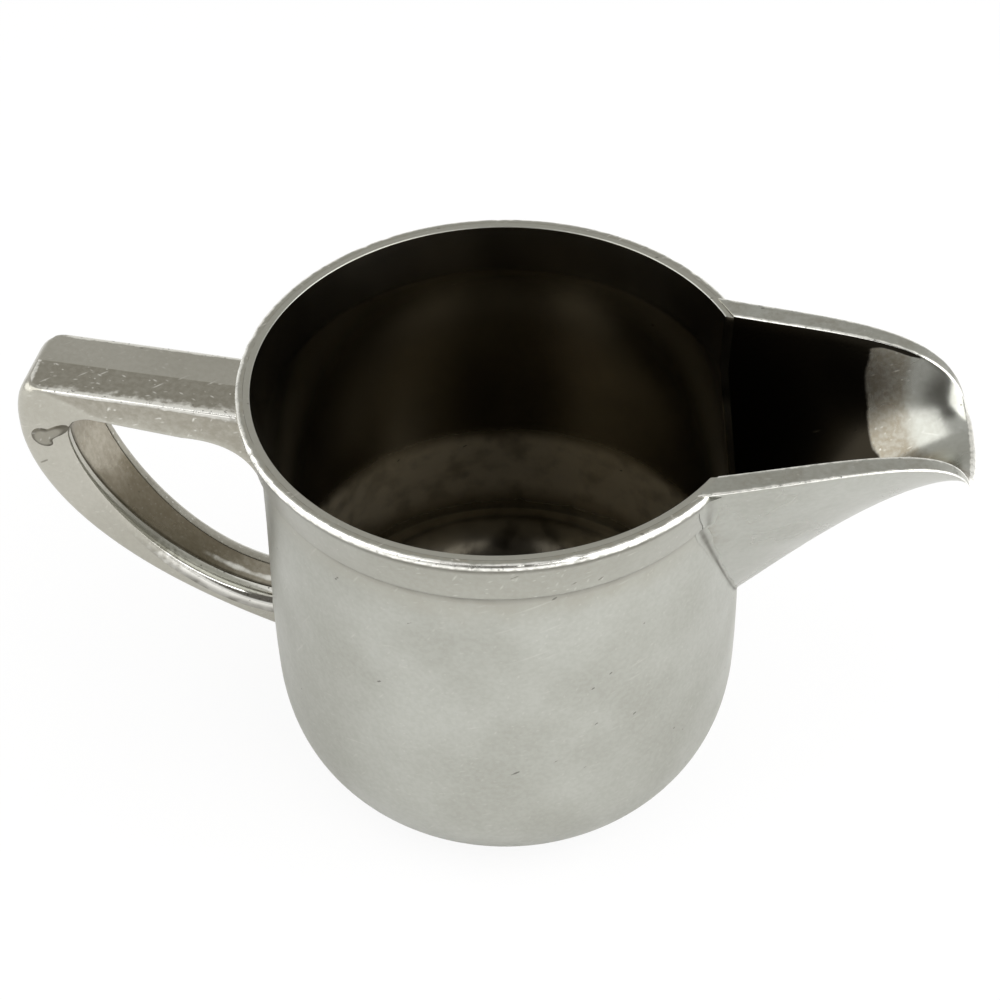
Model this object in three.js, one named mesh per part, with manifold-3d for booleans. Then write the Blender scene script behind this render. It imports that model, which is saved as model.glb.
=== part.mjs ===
// Silver-plated creamer: a spun body with a flared collar round its rim, a vee-shaped
// pouring spout soldered over a cut in the wall, and a hollow loop handle closed by an
// inner strip. Millimetres, +Z up, origin at the centre of the flat base, spout towards
// +X, handle towards -X.
import * as THREE from 'three';
import { mergeVertices } from 'three/addons/utils/BufferGeometryUtils.js';
import Module from 'manifold-3d';

const wasm = await Module();
wasm.setup();

// Fits
const SEAM_GAP = 0.3; // clearance that solder fills between two neighbouring pieces
const SOLDER_BEAD = 0.9; // width of a solder bead beyond its seam gap
const CUT_MARGIN = 4; // how far a cutting shape runs past what it cuts

// Body, turned about Z
const RIM_HEIGHT = 73;
const NECK_RADIUS = 35.6; // outside of the wall, just under the collar
const BELLY_BULGE = 1.8; // belly radius over the neck radius
const BELLY_HEIGHT = 18;
const BASE_INSET = 5.4; // flat base radius under the neck radius
const BASE_ROUNDING = 4.6; // how far the base edge's curve keeps its slope
const BODY_WALL = 1.0;
const BASE_THICKNESS = 1.2;

// Rim collar
const COLLAR_HEIGHT = 8;
const COLLAR_FOOT_STEP = 0.9; // how far its lower edge stands proud of the neck
const RIM_FLARE = 1.1; // how far the body wall flares behind the collar
const COLLAR_THICKNESS = 1.0; // at the rim
const RIM_ROUNDING = 0.5;

// Spout
const SPOUT_REACH = 30; // tip beyond the collar's outer radius
const SPOUT_ROOT_ANGLE = 38; // half angle of the joint at the rim, in degrees
const SPOUT_ROOT_DEPTH = 40.5; // lowest point of the joint below the rim
const SPOUT_ROOT_BEND = 1.42; // section at the body: 1 is a plain vee, 2 a round trough
const SPOUT_LIP_BEND = 2.3; // section at the lip
const SPOUT_CREST = 6.4; // pull of the edge above the rim, just before the lip
const SPOUT_SHOULDER_HALF_WIDTH = 13.6; // pull of the edge sideways there
const SPOUT_SHOULDER_SETBACK = 5; // that pull behind the tip
const SPOUT_EDGE_RUN = 0.45; // share of the way to that pull where the edge starts to rise
const SPOUT_CORNER_SETBACK = 1.4; // lip corners behind the tip
const SPOUT_CORNER_HALF_WIDTH = 9.4;
const SPOUT_CORNER_DROP = 5.6; // lip corners below the rim
const SPOUT_TIP_DROP = 7.2; // underside of the tip below the rim
const KEEL_EARLY_CLIMB = 0.42; // share of its climb that the keel makes in its first third
const LIP_UPTURN = 2.4; // climb of the keel over its last third
const SPOUT_EDGE_WIDTH = 3.4; // flat top edge, at the rim
const SPOUT_WALL = 1.8; // at the rim
const LIP_WALL = 1.1;

// Handle
const HANDLE_REACH = 35.4; // outermost point beyond the collar's outer radius
const HANDLE_DROP = 7; // top of the bar below the rim, at the body
const HANDLE_BAR_LENGTH = 32; // flat top beyond the collar's outer radius
const HANDLE_BAR_RISE = 2; // outer end of the flat top over its inner end
const HANDLE_BAR_THICKNESS = 5.6;
const HANDLE_BACK_WIDTH = 8.2; // from the opening to the outermost point
const HANDLE_BACK_DROP = 10; // outermost point below the end of the flat top
const HANDLE_FOOT_HEIGHT = 17.5; // underside of the lower limb at the body
const HANDLE_FOOT_THICKNESS = 6.8; // upright height of the lower limb at the body
const LIMB_SWEEP = 24.2; // how far out the underside of the lower limb keeps its slope
const LIMB_RISE = 10; // rise of the underside over that sweep
const OPENING_CORNER = 4.4; // rounding of the opening's top corner
const OPENING_BACK = 15; // length down the back that the opening stays upright
const OPENING_SWEEP = 18; // how far out the opening's lower edge keeps its slope
const OPENING_RISE = 1.2; // rise of the lower edge over that sweep
const HANDLE_FLARE = 11.5; // rounding where the bar's underside runs into the body
const HANDLE_TOP_WIDTH = 13;
const HANDLE_FOOT_WIDTH = 10.5;
const HANDLE_WALL = 1.2;
const STRIP_THICKNESS = 1.0;

// Solder patch on the side of the handle
const PATCH_RADIUS = 1.9;
const PATCH_TAIL = 4.2;
const PATCH_TAIL_WIDTH = 0.6;
const PATCH_THICKNESS = 0.4;

// Smoothness
const TURN_SEGMENTS = 72;
const CURVE_STEPS = 9;
const SPOUT_ROWS = 22;
const SPOUT_COLUMNS = 24;
const FOLD_TOLERANCE = 0.04; // share of its distance that a moved line may lose in a tight turn

// Sizes that follow from the ones above
const collarFootHeight = RIM_HEIGHT - COLLAR_HEIGHT;
const bellyRadius = NECK_RADIUS + BELLY_BULGE;
const baseRadius = NECK_RADIUS - BASE_INSET;
const bodyRimRadius = NECK_RADIUS + RIM_FLARE;
const rimRadius = bodyRimRadius + SEAM_GAP + COLLAR_THICKNESS;
const collarFootRadius = NECK_RADIUS + COLLAR_FOOT_STEP;
const barTop = RIM_HEIGHT - HANDLE_DROP;
const barEndTop = barTop + HANDLE_BAR_RISE;
const barEndX = -(rimRadius + HANDLE_BAR_LENGTH);
const backX = -(rimRadius + HANDLE_REACH);
const rootX = -(baseRadius - CUT_MARGIN);
const spoutTop = RIM_HEIGHT + SPOUT_CREST + CUT_MARGIN;

// Solids and meshes

// A closed geometry as a solid that can be joined and cut.
function toSolid(geometry) {
  const bare = geometry.clone();
  bare.deleteAttribute('normal');
  bare.deleteAttribute('uv');
  const welded = mergeVertices(bare);
  const corners = welded.index.array;
  const triVerts = [];
  for (let i = 0; i < corners.length; i += 3) {
    const [a, b, c] = corners.slice(i, i + 3);
    if (a !== b && b !== c && c !== a) triVerts.push(a, b, c);
  }
  const vertProperties = new Float32Array(welded.attributes.position.array);
  return new wasm.Manifold(new wasm.Mesh({
    numProp: 3,
    vertProperties,
    triVerts: new Uint32Array(triVerts),
  }));
}

// A solid back as a geometry.
function toGeometry(solid) {
  const { vertProperties, triVerts } = solid.getMesh();
  const geometry = new THREE.BufferGeometry();
  geometry.setAttribute('position', new THREE.BufferAttribute(vertProperties, 3));
  geometry.setIndex(new THREE.BufferAttribute(triVerts, 1));
  geometry.computeVertexNormals();
  return geometry;
}

// Shortest distance from an open line to a point.
function distanceTo(points, target) {
  const distances = points.slice(1).map((end, i) => {
    const along = end.clone().sub(points[i]);
    const reach = target.clone().sub(points[i]).dot(along) / along.lengthSq();
    const foot = points[i].clone().addScaledVector(along, THREE.MathUtils.clamp(reach, 0, 1));
    return foot.distanceTo(target);
  });
  return Math.min(...distances);
}

// An open line moved sideways, to the left of the way it runs. A turn tighter than the
// distance would fold over itself, so its points that come back towards the line are left out.
function offsetLine(points, distance) {
  const moved = points.map((point, i) => {
    const before = points[Math.max(i - 1, 0)];
    const after = points[Math.min(i + 1, points.length - 1)];
    const along = after.clone().sub(before).normalize();
    return new THREE.Vector2(point.x - along.y * distance, point.y + along.x * distance);
  });
  const least = (1 - FOLD_TOLERANCE) * Math.abs(distance);
  return moved.filter((point) => distanceTo(points, point) >= least);
}

// A profile of radius and height, turned about Z.
function turned(profile) {
  const geometry = new THREE.LatheGeometry(profile, TURN_SEGMENTS);
  geometry.rotateX(Math.PI / 2);
  return toSolid(geometry);
}

// The solid between two grids of points with equal rows and columns.
function between(outer, inner) {
  const rows = outer.length;
  const columns = outer[0].length;
  const positions = [...outer.flat(), ...inner.flat()].flatMap((point) => point.toArray());
  const index = [];
  const at = (side, row, column) => (side * rows + row) * columns + column;
  const quad = (a, b, c, d) => index.push(a, c, b, a, d, c);
  for (let r = 0; r < rows - 1; r += 1) {
    for (let c = 0; c < columns - 1; c += 1) {
      quad(at(0, r, c), at(0, r + 1, c), at(0, r + 1, c + 1), at(0, r, c + 1));
      quad(at(1, r, c), at(1, r, c + 1), at(1, r + 1, c + 1), at(1, r + 1, c));
    }
    quad(at(0, r, 0), at(1, r, 0), at(1, r + 1, 0), at(0, r + 1, 0));
    const last = columns - 1;
    quad(at(0, r, last), at(0, r + 1, last), at(1, r + 1, last), at(1, r, last));
  }
  for (let c = 0; c < columns - 1; c += 1) {
    quad(at(0, 0, c), at(0, 0, c + 1), at(1, 0, c + 1), at(1, 0, c));
    const end = rows - 1;
    quad(at(0, end, c), at(1, end, c), at(1, end, c + 1), at(0, end, c + 1));
  }
  const geometry = new THREE.BufferGeometry();
  geometry.setAttribute('position', new THREE.Float32BufferAttribute(positions, 3));
  geometry.setIndex(index);
  return toSolid(geometry);
}

// Body and collar

// Outside of the body wall, from the edge of the base to the rim.
function bodyLine() {
  const path = new THREE.Path();
  path.moveTo(baseRadius, 0);
  path.bezierCurveTo(
    baseRadius + BASE_ROUNDING, BASE_ROUNDING,
    bellyRadius, BELLY_HEIGHT / 2,
    bellyRadius, BELLY_HEIGHT,
  );
  const rise = (collarFootHeight - BELLY_HEIGHT) / 3;
  path.bezierCurveTo(
    bellyRadius, BELLY_HEIGHT + rise,
    NECK_RADIUS, collarFootHeight - rise,
    NECK_RADIUS, collarFootHeight,
  );
  path.lineTo(bodyRimRadius, RIM_HEIGHT);
  return path.getPoints(CURVE_STEPS);
}

// Outside of the collar, from its lower edge to the rounded top of the rim.
function collarLine() {
  const path = new THREE.Path();
  path.moveTo(collarFootRadius, collarFootHeight);
  path.quadraticCurveTo(
    (collarFootRadius + rimRadius) / 2, RIM_HEIGHT - COLLAR_HEIGHT / 2,
    rimRadius, RIM_HEIGHT - RIM_ROUNDING,
  );
  path.quadraticCurveTo(rimRadius, RIM_HEIGHT, rimRadius - RIM_ROUNDING, RIM_HEIGHT);
  return path.getPoints(CURVE_STEPS / 3);
}

// Everything inside the body's outer face, grown by a clearance, up to a given height.
function bodyEnvelope(clearance, top) {
  const wall = offsetLine(bodyLine(), -clearance);
  const rim = wall.at(-1);
  return turned([
    new THREE.Vector2(0, -CUT_MARGIN),
    new THREE.Vector2(wall[0].x, -CUT_MARGIN),
    ...wall,
    new THREE.Vector2(rim.x, top),
    new THREE.Vector2(0, top),
  ]);
}

// Everything inside the collar's outer face and below its foot, grown by a clearance.
function collarEnvelope(clearance) {
  const band = offsetLine(collarLine(), -clearance);
  return turned([
    new THREE.Vector2(0, collarFootHeight - clearance),
    new THREE.Vector2(band[0].x, collarFootHeight - clearance),
    ...band,
    new THREE.Vector2(0, band.at(-1).y),
  ]);
}

function bodyShell() {
  const outer = bodyLine();
  const inner = offsetLine(outer, BODY_WALL).map((point) => new THREE.Vector2(
    point.x,
    THREE.MathUtils.clamp(point.y, BASE_THICKNESS, RIM_HEIGHT),
  ));
  const shell = turned([
    new THREE.Vector2(0, 0),
    ...outer,
    ...inner.reverse(),
    new THREE.Vector2(0, BASE_THICKNESS),
  ]);
  return shell.subtract(spoutChannel());
}

function rimCollar() {
  const seat = offsetLine(bodyLine().slice(-2), -SEAM_GAP);
  const [foot, top] = seat;
  const band = turned([
    new THREE.Vector2(foot.x, collarFootHeight),
    ...collarLine(),
    new THREE.Vector2(top.x, RIM_HEIGHT),
    new THREE.Vector2(foot.x, collarFootHeight),
  ]);
  return band.subtract(spoutBlock(SEAM_GAP + SOLDER_BEAD + SEAM_GAP));
}

// Spout

// Top edge of the spout's outside, from inside the body to the corner of the lip.
function spoutEdge() {
  const angle = THREE.MathUtils.degToRad(SPOUT_ROOT_ANGLE);
  const tipX = rimRadius + SPOUT_REACH;
  const joint = new THREE.Vector3(
    NECK_RADIUS * Math.cos(angle),
    NECK_RADIUS * Math.sin(angle),
    RIM_HEIGHT,
  );
  const shoulder = new THREE.Vector3(
    tipX - SPOUT_SHOULDER_SETBACK,
    SPOUT_SHOULDER_HALF_WIDTH,
    RIM_HEIGHT + SPOUT_CREST,
  );
  const corner = new THREE.Vector3(
    tipX - SPOUT_CORNER_SETBACK,
    SPOUT_CORNER_HALF_WIDTH,
    RIM_HEIGHT - SPOUT_CORNER_DROP,
  );
  const middle = joint.clone().lerp(shoulder, SPOUT_EDGE_RUN);
  middle.z = RIM_HEIGHT;
  const start = joint.clone().addScaledVector(middle.clone().sub(joint).normalize(), -CUT_MARGIN);
  return new THREE.CubicBezierCurve3(start, middle, shoulder, corner);
}

// Bottom of the spout's outside, from inside the body to the tip of the lip.
function spoutKeel() {
  const tipX = rimRadius + SPOUT_REACH;
  const tipZ = RIM_HEIGHT - SPOUT_TIP_DROP;
  const jointX = NECK_RADIUS;
  const jointZ = RIM_HEIGHT - SPOUT_ROOT_DEPTH;
  const run = (tipX - jointX) / 3;
  const climb = (tipZ - jointZ) * KEEL_EARLY_CLIMB;
  const slope = new THREE.Vector3(run, 0, climb);
  const joint = new THREE.Vector3(jointX, 0, jointZ);
  return new THREE.CubicBezierCurve3(
    joint.clone().addScaledVector(slope.clone().normalize(), -CUT_MARGIN),
    joint.clone().add(slope),
    new THREE.Vector3(tipX - run, 0, tipZ - LIP_UPTURN),
    new THREE.Vector3(tipX, 0, tipZ),
  );
}

// Grid of points on the spout, grown outwards by amounts that may change along it.
function spoutSurface(growEdge, growKeel) {
  const edge = spoutEdge();
  const keel = spoutKeel();
  const grid = [];
  for (let r = 0; r <= SPOUT_ROWS; r += 1) {
    const along = r / SPOUT_ROWS;
    const rim = edge.getPoint(along);
    rim.y += growEdge(along);
    const bottom = keel.getPoint(along);
    const slope = keel.getTangent(along);
    bottom.x += slope.z * growKeel(along);
    bottom.z -= slope.x * growKeel(along);
    const bend = THREE.MathUtils.lerp(SPOUT_ROOT_BEND, SPOUT_LIP_BEND, along);
    const row = [];
    for (let c = 0; c <= SPOUT_COLUMNS; c += 1) {
      const across = (2 * c) / SPOUT_COLUMNS - 1;
      const out = Math.abs(across);
      row.push(new THREE.Vector3(
        THREE.MathUtils.lerp(bottom.x, rim.x, out * out),
        rim.y * across,
        THREE.MathUtils.lerp(bottom.z, rim.z, out ** bend),
      ));
    }
    grid.push(row);
  }
  return grid;
}

// The same grid lifted to one height, to close a shape over the spout.
function lid(surface) {
  return surface.map((row) => row.map((point) => new THREE.Vector3(point.x, point.y, spoutTop)));
}

// The spout as a full block, grown all round, with its hollow filled to above the rim.
function spoutBlock(grow) {
  const outside = spoutSurface(() => grow, () => grow);
  return between(outside, lid(outside));
}

function spoutInside() {
  return spoutSurface(
    (along) => -THREE.MathUtils.lerp(SPOUT_EDGE_WIDTH, LIP_WALL, along),
    (along) => -THREE.MathUtils.lerp(SPOUT_WALL, LIP_WALL, along),
  );
}

// The way through the body wall into the spout.
function spoutChannel() {
  const inside = spoutInside();
  return between(inside, lid(inside));
}

function spoutShell() {
  const shell = between(spoutSurface(() => 0, () => 0), spoutInside());
  return shell.subtract(bodyEnvelope(SEAM_GAP, spoutTop));
}

function spoutSolder() {
  const near = spoutBlock(SEAM_GAP + SOLDER_BEAD);
  const bead = near.intersect(bodyEnvelope(SEAM_GAP + SOLDER_BEAD, RIM_HEIGHT));
  return bead.subtract(bodyEnvelope(SEAM_GAP, spoutTop)).subtract(spoutBlock(SEAM_GAP));
}

// Handle

// Outside of the loop in the XZ plane: along the flat top, round the back, down to the body.
function handleOuterLine() {
  const backZ = barEndTop - HANDLE_BACK_DROP;
  const path = new THREE.Path();
  path.moveTo(rootX, barTop);
  path.lineTo(-rimRadius, barTop);
  path.lineTo(barEndX, barEndTop);
  path.bezierCurveTo(
    (barEndX + backX) / 2, barEndTop,
    backX, backZ + HANDLE_BACK_DROP / 2,
    backX, backZ,
  );
  path.bezierCurveTo(
    backX, backZ - OPENING_BACK,
    -NECK_RADIUS - LIMB_SWEEP, HANDLE_FOOT_HEIGHT + LIMB_RISE,
    -NECK_RADIUS, HANDLE_FOOT_HEIGHT,
  );
  path.lineTo(rootX, HANDLE_FOOT_HEIGHT - (rootX + NECK_RADIUS) / 2);
  return path.getPoints(CURVE_STEPS);
}

// Edge of the finger opening, from under the bar at the body round to the lower limb.
function handleInnerLine() {
  const underBar = barTop - HANDLE_BAR_THICKNESS;
  const underEnd = barEndTop - HANDLE_BAR_THICKNESS;
  const innerBackX = backX + HANDLE_BACK_WIDTH;
  const cornerX = innerBackX + OPENING_CORNER;
  const footTop = HANDLE_FOOT_HEIGHT + HANDLE_FOOT_THICKNESS;
  const flareX = -NECK_RADIUS - HANDLE_FLARE;
  const path = new THREE.Path();
  path.moveTo(rootX, underBar - HANDLE_FLARE);
  path.lineTo(-NECK_RADIUS, underBar - HANDLE_FLARE);
  path.quadraticCurveTo(-NECK_RADIUS, underBar, flareX, underBar);
  path.lineTo(cornerX, underEnd);
  path.quadraticCurveTo(innerBackX, underEnd, innerBackX, underEnd - OPENING_CORNER);
  path.bezierCurveTo(
    innerBackX, underEnd - OPENING_BACK,
    -NECK_RADIUS - OPENING_SWEEP, footTop + OPENING_RISE,
    -NECK_RADIUS, footTop,
  );
  path.lineTo(rootX, footTop - (rootX + NECK_RADIUS) / 4);
  return path.getPoints(CURVE_STEPS);
}

// Narrows a handle piece evenly from the top width to the foot width.
function taper(geometry) {
  const positions = geometry.attributes.position;
  const slope = (HANDLE_TOP_WIDTH - HANDLE_FOOT_WIDTH) / (barTop - HANDLE_FOOT_HEIGHT);
  for (let i = 0; i < positions.count; i += 1) {
    const width = HANDLE_TOP_WIDTH - slope * (barTop - positions.getZ(i));
    positions.setY(i, positions.getY(i) * (width / HANDLE_TOP_WIDTH));
  }
  return geometry;
}

// An outline in the XZ plane, given thickness along Y from the side nearest -Y.
function sideways(outline, nearY, width) {
  const geometry = new THREE.ExtrudeGeometry(new THREE.Shape(outline), {
    depth: width,
    bevelEnabled: false,
  });
  geometry.rotateX(Math.PI / 2);
  geometry.translate(0, nearY + width, 0);
  return toSolid(taper(geometry));
}

// The loop between two lines moved by their own distances, and of a given width.
function loop(outerShift, innerShift, width) {
  const outline = [
    ...offsetLine(handleOuterLine(), outerShift),
    ...offsetLine(handleInnerLine(), innerShift).reverse(),
  ];
  return sideways(outline, -width / 2, width);
}

function bodyAndCollar(clearance) {
  return bodyEnvelope(clearance, RIM_HEIGHT + CUT_MARGIN).add(collarEnvelope(clearance));
}

// The whole loop without its hollow, grown all round.
function handleBlock(grow) {
  return loop(-grow, grow, HANDLE_TOP_WIDTH + 2 * grow);
}

function handleShell() {
  const hollow = loop(HANDLE_WALL, SEAM_GAP, HANDLE_TOP_WIDTH - 2 * HANDLE_WALL);
  return handleBlock(0).subtract(hollow).subtract(bodyAndCollar(SEAM_GAP));
}

function handleInnerStrip() {
  const line = handleInnerLine();
  const outline = [...offsetLine(line, -STRIP_THICKNESS), ...line.reverse()];
  const width = HANDLE_TOP_WIDTH - 2 * HANDLE_WALL - 2 * SEAM_GAP;
  return sideways(outline, -width / 2, width).subtract(bodyAndCollar(SEAM_GAP));
}

// Solder round both ends of the handle, as one ring at each end.
function handleSolder() {
  const grown = handleBlock(SEAM_GAP + SOLDER_BEAD);
  const bead = grown.intersect(bodyAndCollar(SEAM_GAP + SOLDER_BEAD));
  const rings = bead.subtract(bodyAndCollar(SEAM_GAP)).subtract(handleBlock(SEAM_GAP));
  return rings.decompose().sort((a, b) => b.boundingBox().max[2] - a.boundingBox().max[2]);
}

// A comma of solder on the near side of the handle, behind the top corner of the opening.
function handlePatch() {
  const x = backX + HANDLE_BACK_WIDTH / 2;
  const z = barEndTop - HANDLE_BACK_DROP;
  const shape = new THREE.Path();
  shape.moveTo(x, z + PATCH_RADIUS);
  shape.absarc(x, z, PATCH_RADIUS, Math.PI / 2, 2 * Math.PI, false);
  shape.quadraticCurveTo(
    x + PATCH_RADIUS, z + PATCH_RADIUS / 2,
    x + PATCH_TAIL, z + PATCH_RADIUS,
  );
  shape.lineTo(x + PATCH_TAIL, z + PATCH_RADIUS + PATCH_TAIL_WIDTH);
  const outline = shape.getPoints(CURVE_STEPS);
  return sideways(outline, -HANDLE_TOP_WIDTH / 2 - SEAM_GAP - PATCH_THICKNESS, PATCH_THICKNESS);
}

// Materials

const finish = (color, roughness) => () => new THREE.MeshStandardMaterial({
  color,
  roughness,
  metalness: 1,
});
const satinSilver = finish(0xc9c8c2, 0.34);
const wornSilver = finish(0xd6d4cd, 0.26);
const tarnishedSilver = finish(0x8f867a, 0.42);
const dullSolder = finish(0xa5a19a, 0.55);

// Assembly

const creamer = new THREE.Group();

function addPiece(name, solid, material) {
  const mesh = new THREE.Mesh(toGeometry(solid), material());
  mesh.name = name;
  creamer.add(mesh);
}

const [upperSolder, lowerSolder] = handleSolder();
addPiece('body_shell', bodyShell(), satinSilver);
addPiece('rim_collar', rimCollar(), wornSilver);
addPiece('spout_shell', spoutShell(), satinSilver);
addPiece('spout_solder', spoutSolder(), dullSolder);
addPiece('handle_shell', handleShell(), wornSilver);
addPiece('handle_inner_strip', handleInnerStrip(), tarnishedSilver);
addPiece('handle_upper_solder', upperSolder, dullSolder);
addPiece('handle_lower_solder', lowerSolder, dullSolder);
addPiece('handle_solder_patch', handlePatch(), dullSolder);

export default creamer;
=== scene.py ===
"""Worn silver-plated creamer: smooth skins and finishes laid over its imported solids.

Shapes are worked out in millimetres in the solids' own frame: +Z up, the spout towards
+X, the handle towards -X, and the middle of the flat base at the origin.
"""

import logging
import math
from collections.abc import Callable
from dataclasses import dataclass, field
from enum import Enum
from functools import cache, reduce

import bmesh
import bpy
import numpy as np
from mathutils import Matrix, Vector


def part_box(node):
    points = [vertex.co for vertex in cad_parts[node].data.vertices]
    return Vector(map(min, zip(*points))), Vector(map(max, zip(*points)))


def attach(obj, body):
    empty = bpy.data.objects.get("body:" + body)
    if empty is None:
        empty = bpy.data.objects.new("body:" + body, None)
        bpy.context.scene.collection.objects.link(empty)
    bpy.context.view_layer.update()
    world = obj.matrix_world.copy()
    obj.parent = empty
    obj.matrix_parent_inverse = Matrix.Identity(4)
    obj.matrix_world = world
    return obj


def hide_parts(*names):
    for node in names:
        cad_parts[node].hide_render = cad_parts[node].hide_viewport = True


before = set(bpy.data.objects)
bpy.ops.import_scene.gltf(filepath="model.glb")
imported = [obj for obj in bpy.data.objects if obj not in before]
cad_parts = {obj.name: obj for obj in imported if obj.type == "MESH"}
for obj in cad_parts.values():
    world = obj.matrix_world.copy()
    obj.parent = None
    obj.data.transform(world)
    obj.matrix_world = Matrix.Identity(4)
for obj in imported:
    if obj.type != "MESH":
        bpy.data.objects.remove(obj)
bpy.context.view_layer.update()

Array = np.ndarray
Node = bpy.types.Node
NodeTree = bpy.types.NodeTree
Socket = bpy.types.NodeSocket
Colour = tuple[float, float, float]
Place = tuple[float, float, float]
Span = tuple[float, float]

MM = 0.001
TURN = 2 * math.pi
BODY_NAME = "root"
FINE = 160
HALVINGS = 36
WELD = 0.0005
SMOOTH_LIMIT = math.radians(38)
BEAD_SKIN = 0.03
BEAD_FILL = 0.05
BEAD_SINK = 0.25
log = logging.getLogger("creamer")


class Slot(Enum):
    """Material slots of the record."""

    SATIN = "satin_silver"
    WORN = "worn_silver"
    TARNISHED = "tarnished_silver"
    SOLDER = "dull_solder"


class Mark(Enum):
    """Attributes that a skin carries for its finish, each from 0 to 1."""

    TARNISH = "tarnish"
    EDGE = "edge"
    # The dulled-face mark also carries painted shade and painted reflections.
    DULL_AND_PAINTED_LIGHT = "dull"
    # The creases mark also carries painted shade.
    CREASE = "crease"


# Curves and grids


def lerp(start: Array | float, end: Array | float, share: Array | float) -> Array | float:
    """The value at a share of the way from one value to another."""
    return start + (end - start) * share


def unit(vectors: Array) -> Array:
    """Vectors along the last axis, brought to length one."""
    return vectors / np.maximum(np.linalg.norm(vectors, axis=-1, keepdims=True), 1e-9)


def evenly(count: int) -> Array:
    """Even shares from 0 to 1."""
    return np.linspace(0, 1, count)


def bell(value: Array, width: Array | float) -> Array:
    """1 where the value is 0, falling off on both sides as a bell of that width."""
    return np.exp(-(value / width) ** 2)


def wrapped(angle: Array) -> Array:
    """Angles brought between minus and plus half a turn."""
    return (angle + math.pi) % TURN - math.pi


def highest(*values: Array) -> Array:
    """The highest of several values at each place."""
    return reduce(np.maximum, values)


def stretch(count: int, start: int, values: Array | list[float]) -> Array:
    """A row of zeros with some values put in from a start.

    Args:
        count: Length of the row.
        start: Place of the first value.
        values: The values.

    Returns:
        The row.
    """
    row = np.zeros(count)
    row[start:start + len(values)] = values
    return row


def smooth(value: Array, low: Array | float, high: Array | float) -> Array:
    """0 below the low value, 1 above the high one, and a soft cubic step between them."""
    share = np.clip((value - low) / (high - low), 0.0, 1.0)
    return share * share * (3.0 - 2.0 * share)


def bezier(control: list, share: Array) -> Array:
    """Points on a Bezier curve, by drawing in the control polygon one level at a time.

    Args:
        control: Control points, each a tuple or an array of equal points for every share.
        share: Places along the curve from 0 to 1, of any shape.

    Returns:
        Points of the shape of share with the coordinates as a last axis.
    """
    level = [np.asarray(point, float) for point in control]
    while len(level) > 1:
        level = [lerp(a, b, share[..., None]) for a, b in zip(level, level[1:])]
    return level[0]


def chained(*curves: Array) -> Array:
    """Curves joined end to start, with each shared end kept once."""
    return np.concatenate([curves[0], *(curve[1:] for curve in curves[1:])])


def along(line: Array, share: Array) -> Array:
    """Points at shares of a line's own length.

    Args:
        line: Points of the line.
        share: Shares from 0 to 1.

    Returns:
        One point for each share.
    """
    steps = np.linalg.norm(np.diff(line, axis=0), axis=1)
    length = np.concatenate([[0.0], np.cumsum(steps)])
    places = share * length[-1]
    return np.stack([np.interp(places, length, values) for values in line.T], axis=-1)


def turned(radius: Array, angle: Array, height: Array) -> Array:
    """Points of a turned surface from radius, angle about Z and height."""
    return np.stack(np.broadcast_arrays(radius * np.cos(angle), radius * np.sin(angle), height), axis=-1)


def crossing(signed: Callable[[Array], Array], low: Array, high: Array) -> Array:
    """Where a value that grows along a parameter passes through zero, found by halving.

    Args:
        signed: The value as a function of the parameter, negative at low and positive at high.
        low: Parameters below the crossing.
        high: Parameters above it.

    Returns:
        The parameters at the crossing, to the shape of low.
    """
    for _ in range(HALVINGS):
        middle = (low + high) / 2
        before = signed(middle) < 0
        low = np.where(before, middle, low)
        high = np.where(before, high, middle)
    return (low + high) / 2


def rounded_loop(corners: Array, radii: Array, arc_steps: int, side_steps: int) -> Array:
    """Closed loops whose corners are rounded and whose sides are split evenly.

    Each corner gives way to the quadratic curve that starts one radius before it and ends one
    radius after it, with the corner as its control point.

    Args:
        corners: Corner points of each row, of shape (rows, corners, 3).
        radii: Rounding of each corner, of shape (rows, corners).
        arc_steps: Points on each rounding.
        side_steps: Points on each side between two roundings.

    Returns:
        Points of shape (rows, corners * (arc_steps + side_steps), 3).
    """
    before = unit(np.roll(corners, 1, axis=1) - corners)
    after = unit(np.roll(corners, -1, axis=1) - corners)
    start = (corners + before * radii[..., None])[:, :, None]
    end = (corners + after * radii[..., None])[:, :, None]
    arc = bezier([start, corners[:, :, None], end], evenly(arc_steps))
    side = bezier([end, np.roll(start, -1, axis=1)], evenly(side_steps + 2)[1:-1])
    return np.concatenate([arc, side], axis=2).reshape(len(corners), -1, 3)


def corner_marks(weights: list[float], arc_steps: int, side_steps: int) -> Array:
    """The weight of each corner on its rounding, and 0 on the sides, along a rounded loop."""
    block = np.concatenate([np.ones(arc_steps), np.zeros(side_steps)])
    return np.outer(weights, block).ravel()


def pinched(row: Array, pair_sum: int) -> Array:
    """A closed loop folded flat on its own middle: each point halfway to its partner.

    Args:
        row: The loop's points.
        pair_sum: What the numbers of two partners add up to, counted round the loop.

    Returns:
        The folded loop, which closes the end of a walled piece.
    """
    partner = (pair_sum - np.arange(len(row))) % len(row)
    return (row + row[partner]) / 2


def folded(loops: Array, pair_sum: int) -> Array:
    """A walled piece's loops, with both ends closed by a loop folded on its own middle."""
    return np.concatenate([pinched(loops[0], pair_sum)[None], loops, pinched(loops[-1], pair_sum)[None]])


def capped(points: Array) -> Array:
    """A grid with both ends closed by a row that is drawn together in its own middle.

    Args:
        points: The open grid.

    Returns:
        The grid with two more rows.
    """
    ends = points[[0, -1]]
    caps = ends.mean(axis=1, keepdims=True) + 0 * ends
    return np.concatenate([caps[:1], points, caps[1:]])


def with_ends(values: Array) -> Array:
    """Values of the rows of a grid as a column, with those of its two closing rows added."""
    return np.concatenate([values[:1], values, values[-1:]])[:, None]


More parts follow.
